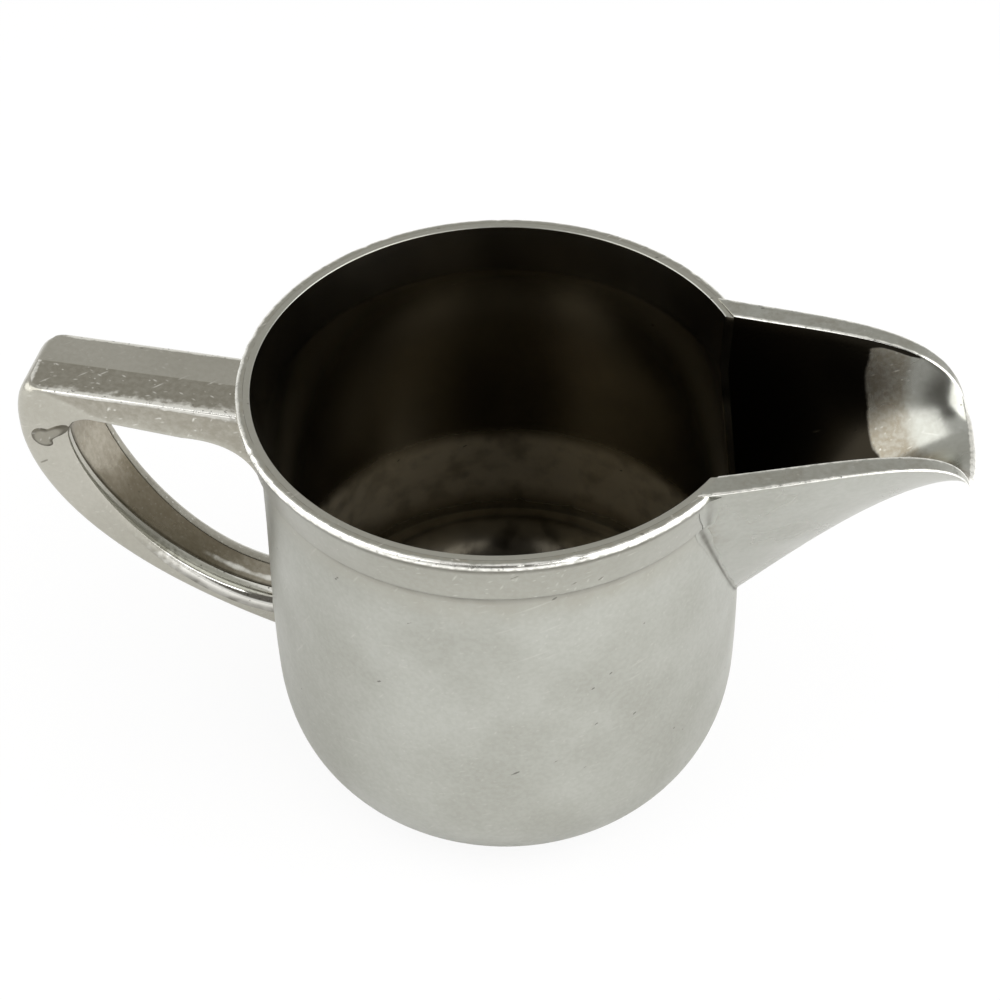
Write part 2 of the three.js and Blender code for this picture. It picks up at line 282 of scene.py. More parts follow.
def over_body(seam: Array, run: Array, centre: Array) -> Array:
    """Unit directions from a seam over the body's face, square to the seam.

    Args:
        seam: Points of the seam.
        run: Directions along the seam.
        centre: Point that the directions lead away from.

    Returns:
        One direction for each point.
    """
    outward = unit(seam * np.array([1.0, 1.0, 0.0]))
    way = unit(np.cross(outward, unit(run)))
    return way * np.sign((way * (seam - centre)).sum(axis=1, keepdims=True))


def bead_crease(steps: int, width: float) -> Array:
    """Dirt along the middle of a bead's face, and none on its back."""
    return np.append(bell(np.linspace(-1, 1, steps), width), 0.0)


def fillet(seam: Array, along_base: Array, along_piece: Array, leg: Array, steps: int) -> Array:
    """A bead of solder in the corner where a piece meets the body.

    Its face is the quadratic curve from a leg's length out on the body to a leg's length out on
    the piece, with the corner as control point. Its back is sunk a little into the metal.

    Args:
        seam: Points of the corner line, of shape (places, 3).
        along_base: Unit directions from the corner over the body's face.
        along_piece: Unit directions from the corner over the piece's face.
        leg: Reach of the bead along either face at each place.
        steps: Points across the face of the bead.

    Returns:
        Grid of shape (places, steps + 1, 3), closed across the bead.
    """
    reach = leg[:, None]
    lift = unit(along_base + along_piece)
    start = (seam + along_base * reach + along_piece * BEAD_SKIN)[:, None]
    end = (seam + along_piece * reach + along_base * BEAD_SKIN)[:, None]
    face = bezier([start, (seam + lift * BEAD_FILL)[:, None], end], evenly(steps))
    return np.concatenate([face, (seam - lift * BEAD_SINK)[:, None]], axis=1)


def size_of(node: str) -> tuple[Array, Array]:
    """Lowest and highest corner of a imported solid, in millimetres."""
    low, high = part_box(node)
    return np.array(low) / MM, np.array(high) / MM


def measured(node: str, end: int, axis: int) -> float:
    """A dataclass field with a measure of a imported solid: its low or high end (0, 1) on an axis."""
    return field(default_factory=lambda: size_of(node)[end][axis])


@dataclass
class Skin:
    """A closed surface on a grid of points, whose last column runs on into its first.

    Attributes:
        name: Name of the piece.
        points: Grid of shape (rows, columns, 3), in millimetres.
        marks: Values from 0 to 1 for the finish, each of a shape that fits (rows, columns).
        ring: Whether the last row also runs on into the first.
    """

    name: str
    points: Array
    marks: dict[Mark, Array]
    ring: bool = False

    def faces(self) -> Array:
        """Corner numbers of the quads between neighbouring rows and columns.

        Returns:
            Numbers of shape (quads, 4).
        """
        rows, columns = self.points.shape[:2]
        number = np.arange(rows * columns).reshape(rows, columns)
        number = np.concatenate([number, number[:, :1]], axis=1)
        if self.ring:
            number = np.concatenate([number, number[:1]], axis=0)
        quads = [number[:-1, :-1], number[1:, :-1], number[1:, 1:], number[:-1, 1:]]
        return np.stack(quads, axis=-1).reshape(-1, 4)

    def build(self) -> bpy.types.Object:
        """Makes the mesh, with its poles and ends welded shut and its faces turned outwards.

        Returns:
            The new object, at the origin and linked to the scene.
        """
        faces = self.faces()
        mesh = bpy.data.meshes.new(self.name)
        mesh.vertices.add(self.points[..., 0].size)
        mesh.vertices.foreach_set("co", (self.points * MM).ravel())
        mesh.loops.add(faces.size)
        mesh.loops.foreach_set("vertex_index", faces.ravel())
        mesh.polygons.add(len(faces))
        mesh.polygons.foreach_set("loop_start", np.arange(0, faces.size, 4))
        for mark, values in self.marks.items():
            layer = mesh.attributes.new(mark.value, "FLOAT", "POINT")
            spread = np.broadcast_to(values, self.points.shape[:2])
            layer.data.foreach_set("value", np.ascontiguousarray(spread, np.float32).ravel())
        mesh.update(calc_edges=True)
        work = bmesh.new()
        work.from_mesh(mesh)
        bmesh.ops.remove_doubles(work, verts=work.verts, dist=WELD * MM)
        bmesh.ops.recalc_face_normals(work, faces=work.faces)
        work.to_mesh(mesh)
        work.free()
        mesh.shade_smooth()
        mesh.set_sharp_from_angle(angle=SMOOTH_LIMIT)
        piece = bpy.data.objects.new(self.name, mesh)
        bpy.context.scene.collection.objects.link(piece)
        return piece


# Shader wiring


class Wiring:
    """Adds and joins the nodes of one shader tree."""

    def __init__(self, tree: NodeTree) -> None:
        """Works on the given tree."""
        self.tree = tree

    def add(self, kind: str, inputs: dict | None = None, **settings: str | bool) -> Node:
        """Adds a node.

        Args:
            kind: Blender's name of the node type.
            inputs: Sockets or plain values for the inputs, by identifier.
            settings: Properties of the node itself.

        Returns:
            The new node.
        """
        node = self.tree.nodes.new(kind)
        for name, value in settings.items():
            setattr(node, name, value)
        sockets = {socket.identifier: socket for socket in node.inputs}
        for name, value in (inputs or {}).items():
            if isinstance(value, Socket):
                self.tree.links.new(value, sockets[name])
            else:
                sockets[name].default_value = value
        return node

    def math(self, operation: str, first: Socket | float, second: Socket | float) -> Socket:
        """One arithmetic step on two values."""
        inputs = {"Value": first, "Value_001": second}
        return self.add("ShaderNodeMath", inputs, operation=operation).outputs[0]

    def times(self, first: Socket | float, second: Socket | float) -> Socket:
        """The product of two values."""
        return self.math("MULTIPLY", first, second)

    def most(self, first: Socket | float, second: Socket | float) -> Socket:
        """The higher of two values."""
        return self.math("MAXIMUM", first, second)

    def step(self, value: Socket, low: float, high: float) -> Socket:
        """A soft step from 0 at the low value to 1 at the high one."""
        inputs = {"Value": value, "From Min": low, "From Max": high}
        return self.add("ShaderNodeMapRange", inputs, interpolation_type="SMOOTHSTEP").outputs[0]

    def spread(self, share: Socket, low: Socket | float, high: Socket | float) -> Socket:
        """A value at a share of the way from a low to a high one."""
        return self.add("ShaderNodeMapRange", {"Value": share, "To Min": low, "To Max": high}).outputs[0]

    def blend(self, share: Socket | float, first: Socket | Colour, second: Socket | Colour) -> Socket:
        """A colour at a share of the way from a first to a second one.

        Args:
            share: The share.
            first: Colour at 0.
            second: Colour at 1.

        Returns:
            The mixed colour.
        """
        pair = [colour if isinstance(colour, Socket) else (*colour, 1.0) for colour in (first, second)]
        inputs = {"Factor_Float": share, "A_Color": pair[0], "B_Color": pair[1]}
        node = self.add("ShaderNodeMix", inputs, data_type="RGBA")
        return next(socket for socket in node.outputs if socket.identifier == "Result_Color")

    def noise(self, place: Socket, scale: Socket | float, detail: float = 3.0) -> Socket:
        """Cloudy values about one half."""
        inputs = {"Vector": place, "Scale": scale, "Detail": detail}
        return self.add("ShaderNodeTexNoise", inputs).outputs[0]

    def cells(self, place: Socket, scale: Socket) -> tuple[Socket, Socket]:
        """Distance from the middle of the nearest random cell, and a chance that goes with the cell.

        Args:
            place: Coordinates of the pattern.
            scale: How many cells fit in a metre.

        Returns:
            The distance and the chance.
        """
        cells = self.add("ShaderNodeTexVoronoi", {"Vector": place, "Scale": scale}).outputs
        chance = self.add("ShaderNodeSeparateColor", {"Color": cells["Color"]}).outputs[0]
        return cells["Distance"], chance

    def mark(self, mark: Mark) -> Socket:
        """A mark that the skin carries."""
        node = self.add("ShaderNodeAttribute", attribute_name=mark.value)
        return next(socket for socket in node.outputs if socket.identifier == "Fac")

    def place(self, turn: Place = (0.0, 0.0, 0.0), longer: Place = (1.0, 1.0, 1.0)) -> Socket:
        """Object coordinates in turned axes, along which a pattern becomes so many times longer.

        Args:
            turn: Angles about the three axes.
            longer: How many times longer along each.

        Returns:
            The coordinates.
        """
        coordinates = self.add("ShaderNodeTexCoord").outputs["Object"]
        inputs = {"Vector": coordinates, "Rotation": turn, "Scale": longer}
        return self.add("ShaderNodeMapping", inputs, vector_type="TEXTURE").outputs[0]

    def effect(self, group: NodeTree, **values: float) -> Node:
        """Places a node group with its own values.

        Args:
            group: The group's tree.
            values: Values of its inputs by name.

        Returns:
            The new node.
        """
        node = self.add("ShaderNodeGroup")
        node.node_tree = group
        for name, value in values.items():
            node.inputs[name.capitalize()].default_value = value
        return node


def cleared(owner: bpy.types.Material | bpy.types.World) -> Wiring:
    """Starts the shader of a material or world from nothing.

    Args:
        owner: The material or world.

    Returns:
        The wiring of its emptied tree.
    """
    owner.use_nodes = True
    owner.node_tree.nodes.clear()
    return Wiring(owner.node_tree)


def effect_group(
    name: str, inputs: dict[str, float], outputs: list[str]
) -> tuple[Wiring, Callable, Callable]:
    """Starts a shader node group.

    Args:
        name: Name of the group.
        inputs: Its inputs with their usual values.
        outputs: Its outputs.

    Returns:
        The group's wiring, a function that gives an input's socket and one that fills an output.
    """
    tree = bpy.data.node_groups.new(name, "ShaderNodeTree")
    for label, value in inputs.items():
        socket = tree.interface.new_socket(name=label, in_out="INPUT", socket_type="NodeSocketFloat")
        socket.default_value = value
    for label in outputs:
        tree.interface.new_socket(name=label, in_out="OUTPUT", socket_type="NodeSocketFloat")
    wiring = Wiring(tree)
    entry = wiring.add("NodeGroupInput")
    leave = wiring.add("NodeGroupOutput")

    def given(label: str) -> Socket:
        """The socket of one input."""
        return entry.outputs[label]

    def put(label: str, socket: Socket) -> None:
        """Sends a value out of the group."""
        tree.links.new(socket, leave.inputs[label])

    return wiring, given, put


@cache
def patina_group() -> NodeTree:
    """Clouded plate: wide soft clouds, smaller blotches, a worn grain and a fine satin.

    Returns:
        The group's tree.
    """
    wiring, given, put = effect_group(
        "Patina", {"Cloud": 60.0, "Blotch": 260.0}, ["Clouds", "Blotches", "Grain", "Satin"]
    )
    place = wiring.place()
    put("Clouds", wiring.step(wiring.noise(place, given("Cloud"), 4.0), 0.3, 0.7))
    put("Blotches", wiring.step(wiring.noise(place, given("Blotch"), 5.0), 0.42, 0.72))
    put("Grain", wiring.step(wiring.noise(place, 1300.0, 4.0), 0.3, 0.7))
    put("Satin", wiring.noise(place, 2600.0, 2.0))
    return wiring.tree


@cache
def streak_group() -> NodeTree:
    """Straight scratches: the thin cores of a share of long, narrow cells in four directions.

    Returns:
        The group's tree.
    """
    wiring, given, put = effect_group("Streaks", {"Scale": 600.0, "Width": 0.06, "Share": 0.5}, ["Lines"])
    lines = None
    for turn in ((0.5, 0.3, 0.4), (-0.7, 1.1, -0.5), (1.2, -0.5, 1.3), (0.1, 1.45, 0.9)):
        place = wiring.place(turn, (1.0, 1.0, 26.0))
        distance, chance = wiring.cells(place, given("Scale"))
        near = wiring.math("DIVIDE", distance, given("Width"))
        core = wiring.most(wiring.math("SUBTRACT", 1.0, near), 0.0)
        line = wiring.times(core, wiring.math("LESS_THAN", chance, given("Share")))
        lines = line if lines is None else wiring.most(lines, line)
    put("Lines", lines)
    return wiring.tree


@cache
def nick_group() -> NodeTree:
    """Small dark nicks: the ragged cores of a few drawn-out cells.

    Returns:
        The group's tree.
    """
    wiring, given, put = effect_group("Nicks", {"Scale": 420.0, "Size": 0.1, "Share": 0.2}, ["Nicks"])
    place = wiring.place((0.3, 1.0, 0.4), (1.0, 1.0, 6.0))
    rough = wiring.noise(wiring.place(), 3200.0, 3.0)
    distance, chance = wiring.cells(place, given("Scale"))
    reach = wiring.times(given("Size"), wiring.spread(rough, 0.4, 1.6))
    near = wiring.math("SUBTRACT", 1.0, wiring.math("DIVIDE", distance, reach))
    kept = wiring.math("LESS_THAN", chance, given("Share"))
    put("Nicks", wiring.times(wiring.step(near, 0.0, 0.4), kept))
    return wiring.tree


@cache
def edge_group() -> NodeTree:
    """Edges rubbed bright: the edge mark, broken up by blotches and eaten by small dings.

    Returns:
        The group's tree.
    """
    wiring, given, put = effect_group("Rubbed edge", {"Breakup": 420.0}, ["Rubbed", "Dings"])
    edge = wiring.mark(Mark.EDGE)
    cloud = wiring.noise(wiring.place(), given("Breakup"), 4.0)
    put("Rubbed", wiring.step(wiring.math("ADD", edge, cloud), 0.75, 1.25))
    pits = wiring.noise(wiring.place(), wiring.times(given("Breakup"), 2.3), 3.0)
    put("Dings", wiring.times(edge, wiring.step(pits, 0.6, 0.72)))
    return wiring.tree


@dataclass(frozen=True)
class Finish:
    """Silver plate as it has aged on one piece.

    Its colours are those of the sound plate, of clouds in it, of fresh scratches and rubbed edges, of
    dulled faces, also used for painted shade and a painted dark reflection, of nicks and creases, also
    used for painted shade, and of dark and thinner, browner tarnish, the browner one also a painted
    reflection band inside the cup. Scales count what fits in a metre, the relief is in millimetres, and
    everything else is a strength from 0 to 1. Scratches show on a plain face, scuffs on a worn one.
    """

    slot: Slot
    plate: Colour = (0.44, 0.445, 0.41)
    cloud: Colour = (0.345, 0.345, 0.308)
    bright: Colour = (0.93, 0.92, 0.87)
    dull: Colour = (0.33, 0.305, 0.248)
    grime_and_shade: Colour = (0.07, 0.062, 0.045)
    tarnish: Colour = (0.19, 0.171, 0.132)
    brown: Colour = (0.8, 0.73, 0.585)
    roughness: float = 0.38
    edge_roughness: float = 0.22
    tarnish_roughness: float = 0.19
    thin_roughness: float = 0.48
    cloudiness: float = 0.6
    cloud_scale: float = 60.0
    grain: float = 0.15
    scratches: float = 0.12
    scuffs: float = 0.75
    breakup: float = 420.0
    relief: float = 0.012
    fine_grain: float = 0.55
    raggedness: float = 0.16
    nick_strength: float = 0.6
    grime_and_shade_strength: float = 0.94
    thin_clouds: float = 0.1
    unevenness: float = 0.04
    satin_relief: float = 0.35

    def colours(self, wiring: Wiring, patina: Node, masks: dict[str, Socket]) -> Socket:
        """Lays the colours over each other, from the plate up to the dark dirt and painted shade.

        Args:
            wiring: The material's wiring.
            patina: The placed patina group.
            masks: Where each layer shows.

        Returns:
            The colour of the whole.
        """
        fine = wiring.times(patina.outputs["Grain"], self.fine_grain)
        clouds = wiring.times(wiring.math("ADD", patina.outputs["Clouds"], fine), self.cloudiness)
        colour = wiring.blend(clouds, self.plate, self.cloud)
        colour = wiring.blend(masks["dull"], colour, self.dull)
        colour = wiring.blend(masks["lines"], colour, self.bright)
        colour = wiring.blend(masks["rubbed"], colour, self.bright)
        stained = wiring.blend(masks["thin"], self.tarnish, self.brown)
        colour = wiring.blend(masks["tarnish"], colour, stained)
        # Last the dark dirt, which also lays painted shade.
        return wiring.blend(masks["grime_and_shade"], colour, self.grime_and_shade)

    def masks(self, wiring: Wiring, patina: Node) -> dict[str, Socket]:
        """Works out where each layer of the finish shows.

        Args:
            wiring: The material's wiring.
            patina: The placed patina group.

        Returns:
            Sockets from 0 to 1 by layer.
        """
        edge = wiring.effect(edge_group(), breakup=self.breakup)
        streaks = wiring.effect(streak_group(), scale=800.0, width=0.15, share=0.8).outputs[0]
        nicks = wiring.effect(nick_group(), scale=420.0, size=0.08, share=0.5).outputs[0]
        blotches = patina.outputs["Blotches"]
        ragged = wiring.times(wiring.math("SUBTRACT", blotches, 0.5), self.raggedness)
        # The dulled layer also lays painted shade and a painted dark reflection.
        dull = wiring.step(wiring.math("ADD", wiring.mark(Mark.DULL_AND_PAINTED_LIGHT), ragged), 0.25, 0.75)
        tarnish = wiring.math("ADD", wiring.mark(Mark.TARNISH), ragged)
        broken = wiring.spread(blotches, 0.7, 1.0)
        # The creases mark also lays painted shade.
        crease = wiring.times(wiring.mark(Mark.CREASE), broken)
        faint = wiring.times(nicks, self.nick_strength)
        grime_and_shade = wiring.most(wiring.most(faint, crease), edge.outputs["Dings"])
        worn = wiring.most(dull, wiring.mark(Mark.EDGE))
        # The thinner, browner layer also lays a painted reflection band inside the cup.
        thin = wiring.times(patina.outputs["Clouds"], self.thin_clouds)
        patchy = wiring.spread(blotches, 1.0, 0.7)
        return {
            "dull": wiring.times(dull, wiring.spread(patina.outputs["Grain"], 1.0 - self.grain, 1.0)),
            "lines": wiring.times(streaks, wiring.spread(worn, self.scratches, self.scuffs)),
            "rubbed": edge.outputs["Rubbed"],
            "thin": wiring.most(thin, wiring.times(wiring.mark(Mark.DULL_AND_PAINTED_LIGHT), patchy)),
            "tarnish": wiring.step(tarnish, 0.42, 0.58),
            "grime_and_shade": wiring.times(grime_and_shade, self.grime_and_shade_strength),
            "relief": wiring.most(streaks, nicks),
        }

    def material(self, name: str) -> bpy.types.Material:
        """Makes the finish as a material.

        Args:
            name: Name of the material.

        Returns:
            The new material.
        """
        material = bpy.data.materials.new(name)
        wiring = cleared(material)
        patina = wiring.effect(patina_group(), cloud=self.cloud_scale)
        masks = self.masks(wiring, patina)
        low, high = self.roughness - self.unevenness, self.roughness + self.unevenness
        rough = wiring.spread(patina.outputs["Clouds"], low, high)
        rough = wiring.spread(masks["rubbed"], rough, self.edge_roughness)
        stained = wiring.spread(masks["thin"], self.tarnish_roughness, self.thin_roughness)
        rough = wiring.spread(masks["tarnish"], rough, stained)
        satin = wiring.times(patina.outputs["Satin"], self.satin_relief)
        inputs = {
            "Strength": 0.5,
            "Distance": self.relief * MM,
            "Height": wiring.math("SUBTRACT", satin, masks["relief"]),
        }
        shader = wiring.add("ShaderNodeBsdfPrincipled", {
            "Base Color": self.colours(wiring, patina, masks),
            "Metallic": 1.0,
            "Roughness": rough,
            "Normal": wiring.add("ShaderNodeBump", inputs).outputs[0],
        })
        wiring.add("ShaderNodeOutputMaterial", {"Surface": shader.outputs[0]})
        return material


def dress(piece: bpy.types.Object, node: str, finish: Finish) -> None:
    """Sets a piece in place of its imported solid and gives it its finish.

    Args:
        piece: The new piece.
        node: Node of the solid that it stands for.
        finish: Its finish.
    """
    piece.data.materials.append(finish.material(f"{piece.name}_finish"))
    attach(piece, BODY_NAME)
    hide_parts(node)
    log.info("%s stands for %s, with %d faces", piece.name, node, len(piece.data.polygons))


# The pieces


@dataclass
class Body:
    """Spun cup with a flared collar band round its rim, both open towards the spout.

    Lengths are in millimetres.
    """

    rim_height: float = measured("body_shell", 1, 2)
    belly_radius: float = measured("body_shell", 1, 0)
    rim_radius: float = measured("rim_collar", 1, 1)
    collar_foot: float = measured("rim_collar", 0, 2)
    neck_radius: float = 35.6
    belly_height: float = 18.0
    base_inset: float = 5.4
    base_rounding: float = 4.6
    wall: float = 1.0
    floor: float = 1.2
    floor_rounding: float = 9.0
    rim_flare: float = 1.1
    rim_rounding: float = 0.3
    rim_easing: float = 0.04
    collar_step: float = 0.9
    foot_rounding: float = 0.45
    foot_rise: Span = (0.1, 0.6)
    face_hollow: Span = (0.45, 0.5)
    bead_height: float = 1.1
    bead_swell: float = 0.3
    bead_width: float = 0.62
    bead_fullness: float = 0.02
    bead_easing: float = 0.05
    seat: float = 0.03
    ding_count: int = 26
    ding_seed: int = 11
    ding_widths: Span = (0.006, 0.024)
    ding_depths: Span = (0.04, 0.16)
    end_sag: float = 0.04
    sag_span: Span = (0.494, 0.5)
    bead_fade: Span = (0.488, 0.4985)
    bead_wear: Span = (1.0, 0.4)
    step_shade: Span = (0.5, 0.8)
    low_darkening_fade: Span = (6.0, 14.0)
    pale_foot: Span = (9.0, 17.0)
    pale_top: Span = (26.0, 31.0)
    glint_depth: Span = (14.0, 30.0)
    top_skin: Span = (0.06, 0.03)
    rim_dulling: float = 0.8
    shade: float = 0.72
    shade_reach: float = 7.0
    around: int = 208
    across_cut: int = 25
    base_rows: int = 14
    outer_rows: int = 120
    lip_rows: int = 6
    inner_rows: int = 110
    bend_rows: int = 10
    floor_rows: int = 22
    band_rows: int = 420

    def outer_line(self) -> Array:
        """Radius and height of the outer face: two curves over the belly and a straight flare.

        Returns:
            Pairs of radius and height from the base up.
        """
        share = evenly(FINE)
        base = self.neck_radius - self.base_inset
        rise = (self.collar_foot - self.belly_height) / 3
        low = bezier([
            (base, 0.0),
            (base + self.base_rounding, self.base_rounding),
            (self.belly_radius, self.belly_height / 2),
            (self.belly_radius, self.belly_height),
        ], share)
        high = bezier([
            (self.belly_radius, self.belly_height),
            (self.belly_radius, self.belly_height + rise),
            (self.neck_radius, self.collar_foot - rise),
            (self.neck_radius, self.collar_foot),
        ], share)
        rim = (self.neck_radius + self.rim_flare, self.rim_height)
        return chained(low, high, bezier([(self.neck_radius, self.collar_foot), rim], share))

    def radius(self, height: Array, inset: float = 0.0) -> Array:
        """Radius of the wall at a height.

        Args:
            height: Heights above the base.
            inset: Distance into the wall from its outer face, measured square to it.

        Returns:
            The radii.
        """
        line = self.outer_line()
        run = unit(np.gradient(line, axis=0))
        return np.interp(height, line[:, 1] + run[:, 0] * inset, line[:, 0] - run[:, 1] * inset)

    def face(self, height: Array) -> Array:
        """Radius of the outside at a height, with the band over the wall.

        Args:
            height: Heights above the base.

        Returns:
            The radii.
        """
        foot = self.neck_radius + self.collar_step
        top = self.rim_radius - self.bead_swell
        heights = [self.collar_foot - self.collar_step, self.collar_foot, self.rim_height]
        return np.maximum(self.radius(height), np.interp(height, heights, [self.neck_radius, foot, top]))

    def gap(self, points: Array, inset: float) -> Array:
        """How far points stand out from the wall's face, moved in by an inset."""
        return np.hypot(points[..., 0], points[..., 1]) - self.radius(points[..., 2]) + inset

    def on_top(self, height: Array) -> Array:
        """1 on the flat top of the rim, 0 just below it."""
        return smooth(height, self.rim_height - self.top_skin[0], self.rim_height - self.top_skin[1])

    def columns(self, spout: "Spout", inset: float) -> tuple[Array, Array]:
        """Columns of the wall, on its face moved in by an inset.

        Args:
            spout: The spout, whose inside cuts the wall.
            inset: Distance into the wall.

        Returns:
            Angle and top of each column: over the cut's edge, then along the rim back to its start.
        """
        across = np.sin(np.linspace(-TURN / 4, TURN / 4, 2 * self.across_cut + 1))
        start = spout.root(across, 1.0, lambda height: self.radius(height, inset))
        edge = spout.surface(start, across, 1.0)
        angle = np.arctan2(edge[:, 1], edge[:, 0])
        rest = np.linspace(angle[-1], angle[0] + TURN, self.around + 2)[1:-1]
        top = np.minimum(edge[:, 2], self.rim_height)
        return np.concatenate([angle, rest]), np.concatenate([top, np.full(self.around, self.rim_height)])

    def cup(self, spout: "Spout") -> Skin:
        """The spun cup: its line turned about Z, up the outside, over the rim and down the inside.

        Args:
            spout: The spout that the wall is cut for.

        Returns:
            The cup's skin.
        """
        outer_angle, outer_top = self.columns(spout, 0.0)
        inner_angle, inner_top = self.columns(spout, self.wall)
        outer_height = evenly(self.outer_rows)[:, None] * (outer_top - self.rim_easing)
        outer = turned(self.radius(outer_height), outer_angle, outer_height)
        base = evenly(self.base_rows)[:-1, None, None] * outer[:1]
        lip_outer = turned(self.radius(outer_top), outer_angle, outer_top)
        lip_inner = turned(self.radius(inner_top, self.wall), inner_angle, inner_top)
        ease = lip_inner + (lip_outer - lip_inner) * (self.rim_rounding / self.wall)
        drop = np.array([0.0, 0.0, self.rim_rounding])
        over = bezier([ease, lip_inner, lip_inner - drop], evenly(self.lip_rows)[:, None])
        foot = self.floor + self.floor_rounding
        fall = np.linspace(1, 0, self.inner_rows)[:, None]
        inner_height = foot + fall * (inner_top - self.rim_rounding - foot)
        inner = turned(self.radius(inner_height, self.wall), inner_angle, inner_height)
        corner_radius = self.radius(np.array(self.floor), self.wall)
        corner = turned(corner_radius, inner_angle, self.floor)
        floor_edge = turned(corner_radius - self.floor_rounding, inner_angle, self.floor)
        bend = bezier([inner[-1], corner, floor_edge], evenly(self.bend_rows)[1:, None])
        centre = np.array([0.0, 0.0, self.floor])
        bottom = centre + np.linspace(1, 0, self.floor_rows)[1:, None, None] * (floor_edge - centre)
        points = np.concatenate([base, outer, lip_outer[None], over, inner[1:], bend, bottom])
        first = len(base) + len(outer)
        rim = slice(first, first + 1 + len(over))
        return Skin("cup_spun", points, self.cup_marks(points[..., 2], rim, inner_angle, inner_top))

    def cup_marks(self, height: Array, rim: slice, angle: Array, top: Array) -> dict[Mark, Array]:
        """Marks of the cup: tarnish inside, with a pale band in it that is a painted reflection and a floor
        that is darker towards the bottom, and painted shade on the neck under the collar and on the cut
        edge.

        Args:
            height: Height of each point of the grid.
            rim: Rows over the top of the wall.
            angle: Angle of each column inside.
            top: Top of each column inside.

        Returns:
            The marks.
        """
        depth = self.rim_height - top
        is_cut = depth > 0.01
        tarnish = np.ones(height.shape)
        tarnish[:rim.stop - 2] = 0.0
        tarnish[rim, is_cut] = 1.0
        # Painted shade: a dark line along the neck just under the collar's step.
        under_step = bell(height - self.collar_foot + self.step_shade[0], self.step_shade[1])
        # The inside grows darker towards the bottom.
        low_darkening = tarnish * (1 - smooth(height, *self.low_darkening_fade))
        crease = np.maximum(0.6 * under_step * (1 - tarnish), low_darkening)
        # Painted shade on the wall's cut edge, but for a stretch on its far side left lighter as a painted
        # glint.
        glint = (angle > 0) & (depth > self.glint_depth[0]) & (depth < self.glint_depth[1])
        crease[rim, is_cut & ~glint] = 1.0
        # The pale band up the inside wall is a painted reflection, laid on as thinner, browner tarnish.
        pale = (1 - smooth(height, *self.pale_top)) * smooth(height, *self.pale_foot)
        rubbed = self.rim_dulling * self.on_top(height)
        # Painted shade: the wall is dulled in a soft band under the collar.
        below = height - self.collar_foot
        shade = self.shade * bell(below, self.shade_reach) * (below < 0)
        dull = highest(rubbed, tarnish * pale, shade * (1 - tarnish))
        return {Mark.TARNISH: tarnish, Mark.CREASE: crease, Mark.DULL_AND_PAINTED_LIGHT: dull}

    def dings(self, angle: Array) -> Array:
        """Depth of the small dents round the rim: a sum of narrow bells at seeded places.

        Args:
            angle: Angles about Z.

        Returns:
            The depths.
        """
        random = np.random.default_rng(self.ding_seed)
        places = random.uniform(0, TURN, self.ding_count)
        widths = random.uniform(*self.ding_widths, self.ding_count)
        depths = random.uniform(*self.ding_depths, self.ding_count)
        apart = wrapped(angle[..., None] - places)
        return (depths * bell(apart, widths)).sum(axis=-1)

    def band_line(self) -> Array:
        """Closed outline of the band: foot, curved face, rolled bead, rim and the face on the wall.

        Returns:
            Pairs of radius and height.
        """
        share = evenly(9)
        low, top = self.collar_foot, self.rim_height
        foot = self.neck_radius + self.collar_step
        under = top - self.bead_height
        face = self.rim_radius - self.bead_swell
        swell = self.rim_radius + self.bead_fullness
        base = (self.neck_radius + self.seat, low)
        rim_inner = (self.neck_radius + self.rim_flare + self.seat, top)
        foot_end = (foot + self.foot_rise[0], low + self.foot_rise[1])
        hollow = (lerp(foot, face, self.face_hollow[0]), lerp(low, under, self.face_hollow[1]))
        step = bezier([(foot - self.foot_rounding, low), (foot, low), foot_end], share)
        rise = bezier([foot_end, hollow, (face, under)], share)
        roll = bezier([
            (face, under),
            (swell, under + self.bead_easing),
            (swell, top),
            (self.rim_radius - self.bead_width, top),
        ], evenly(14))
        flat = bezier([roll[-1], rim_inner], evenly(4))
        back = bezier([rim_inner, base], evenly(6))
        return chained(np.array([base]), np.array([base]), step, rise, roll, flat, back)[:-1]

    def band(self, spout: "Spout") -> Skin:
        """The collar band: its outline carried round Z between the two sides of the spout.

        Args:
            spout: The spout that both ends run up to.

        Returns:
            The band's skin.
        """
        radius, height = self.band_line().T
        across = np.linspace(0.3, 1, 60)
        side = spout.surface(spout.root(across, 0.1, self.face), across, 0.1)
        end = np.interp(height, side[:, 2], np.arctan2(side[:, 1], side[:, 0]))
        share = evenly(self.band_rows)[:, None]
        angle = lerp(end, TURN - end, share)
        under_bead = self.rim_height - self.bead_height
        near_top = smooth(height, under_bead, self.rim_height)
        depth = self.dings(angle) * near_top
        from_middle = np.abs(share - 0.5)
        sag = smooth(from_middle, *self.sag_span) * near_top * self.end_sag
        swell = np.maximum(radius - self.rim_radius + self.bead_swell, 0.0)
        swell = swell * smooth(from_middle, *self.bead_fade)
        points = capped(turned(radius - depth - swell, angle, height - 0.5 * depth - sag))
        bead = smooth(height, under_bead, self.rim_height - self.bead_wear[1])
        outward = smooth(radius, self.rim_radius - self.bead_wear[0], self.rim_radius - self.bead_wear[1])
        flat = (1 - outward) * self.on_top(height)
        # Painted shade: dark lines at the band's foot and under the bead's outer face.
        foot_shade = 0.8 * bell(height - self.collar_foot, 0.3)
        return Skin("rim_collar_band", points, {
            Mark.EDGE: 0.7 * bead * outward,
            Mark.CREASE: np.maximum(bell(height - under_bead, 0.2) * outward, foot_shade),
            Mark.DULL_AND_PAINTED_LIGHT: 0.55 * flat,
        })

    def build(self, spout: "Spout") -> None:
        """Builds and dresses the cup and its band."""
        dress(self.cup(spout).build(), "body_shell", Finish(
            Slot.SATIN, dull=(0.365, 0.358, 0.315), grime_and_shade=(0.018, 0.015, 0.011), scuffs=0.15
        ))
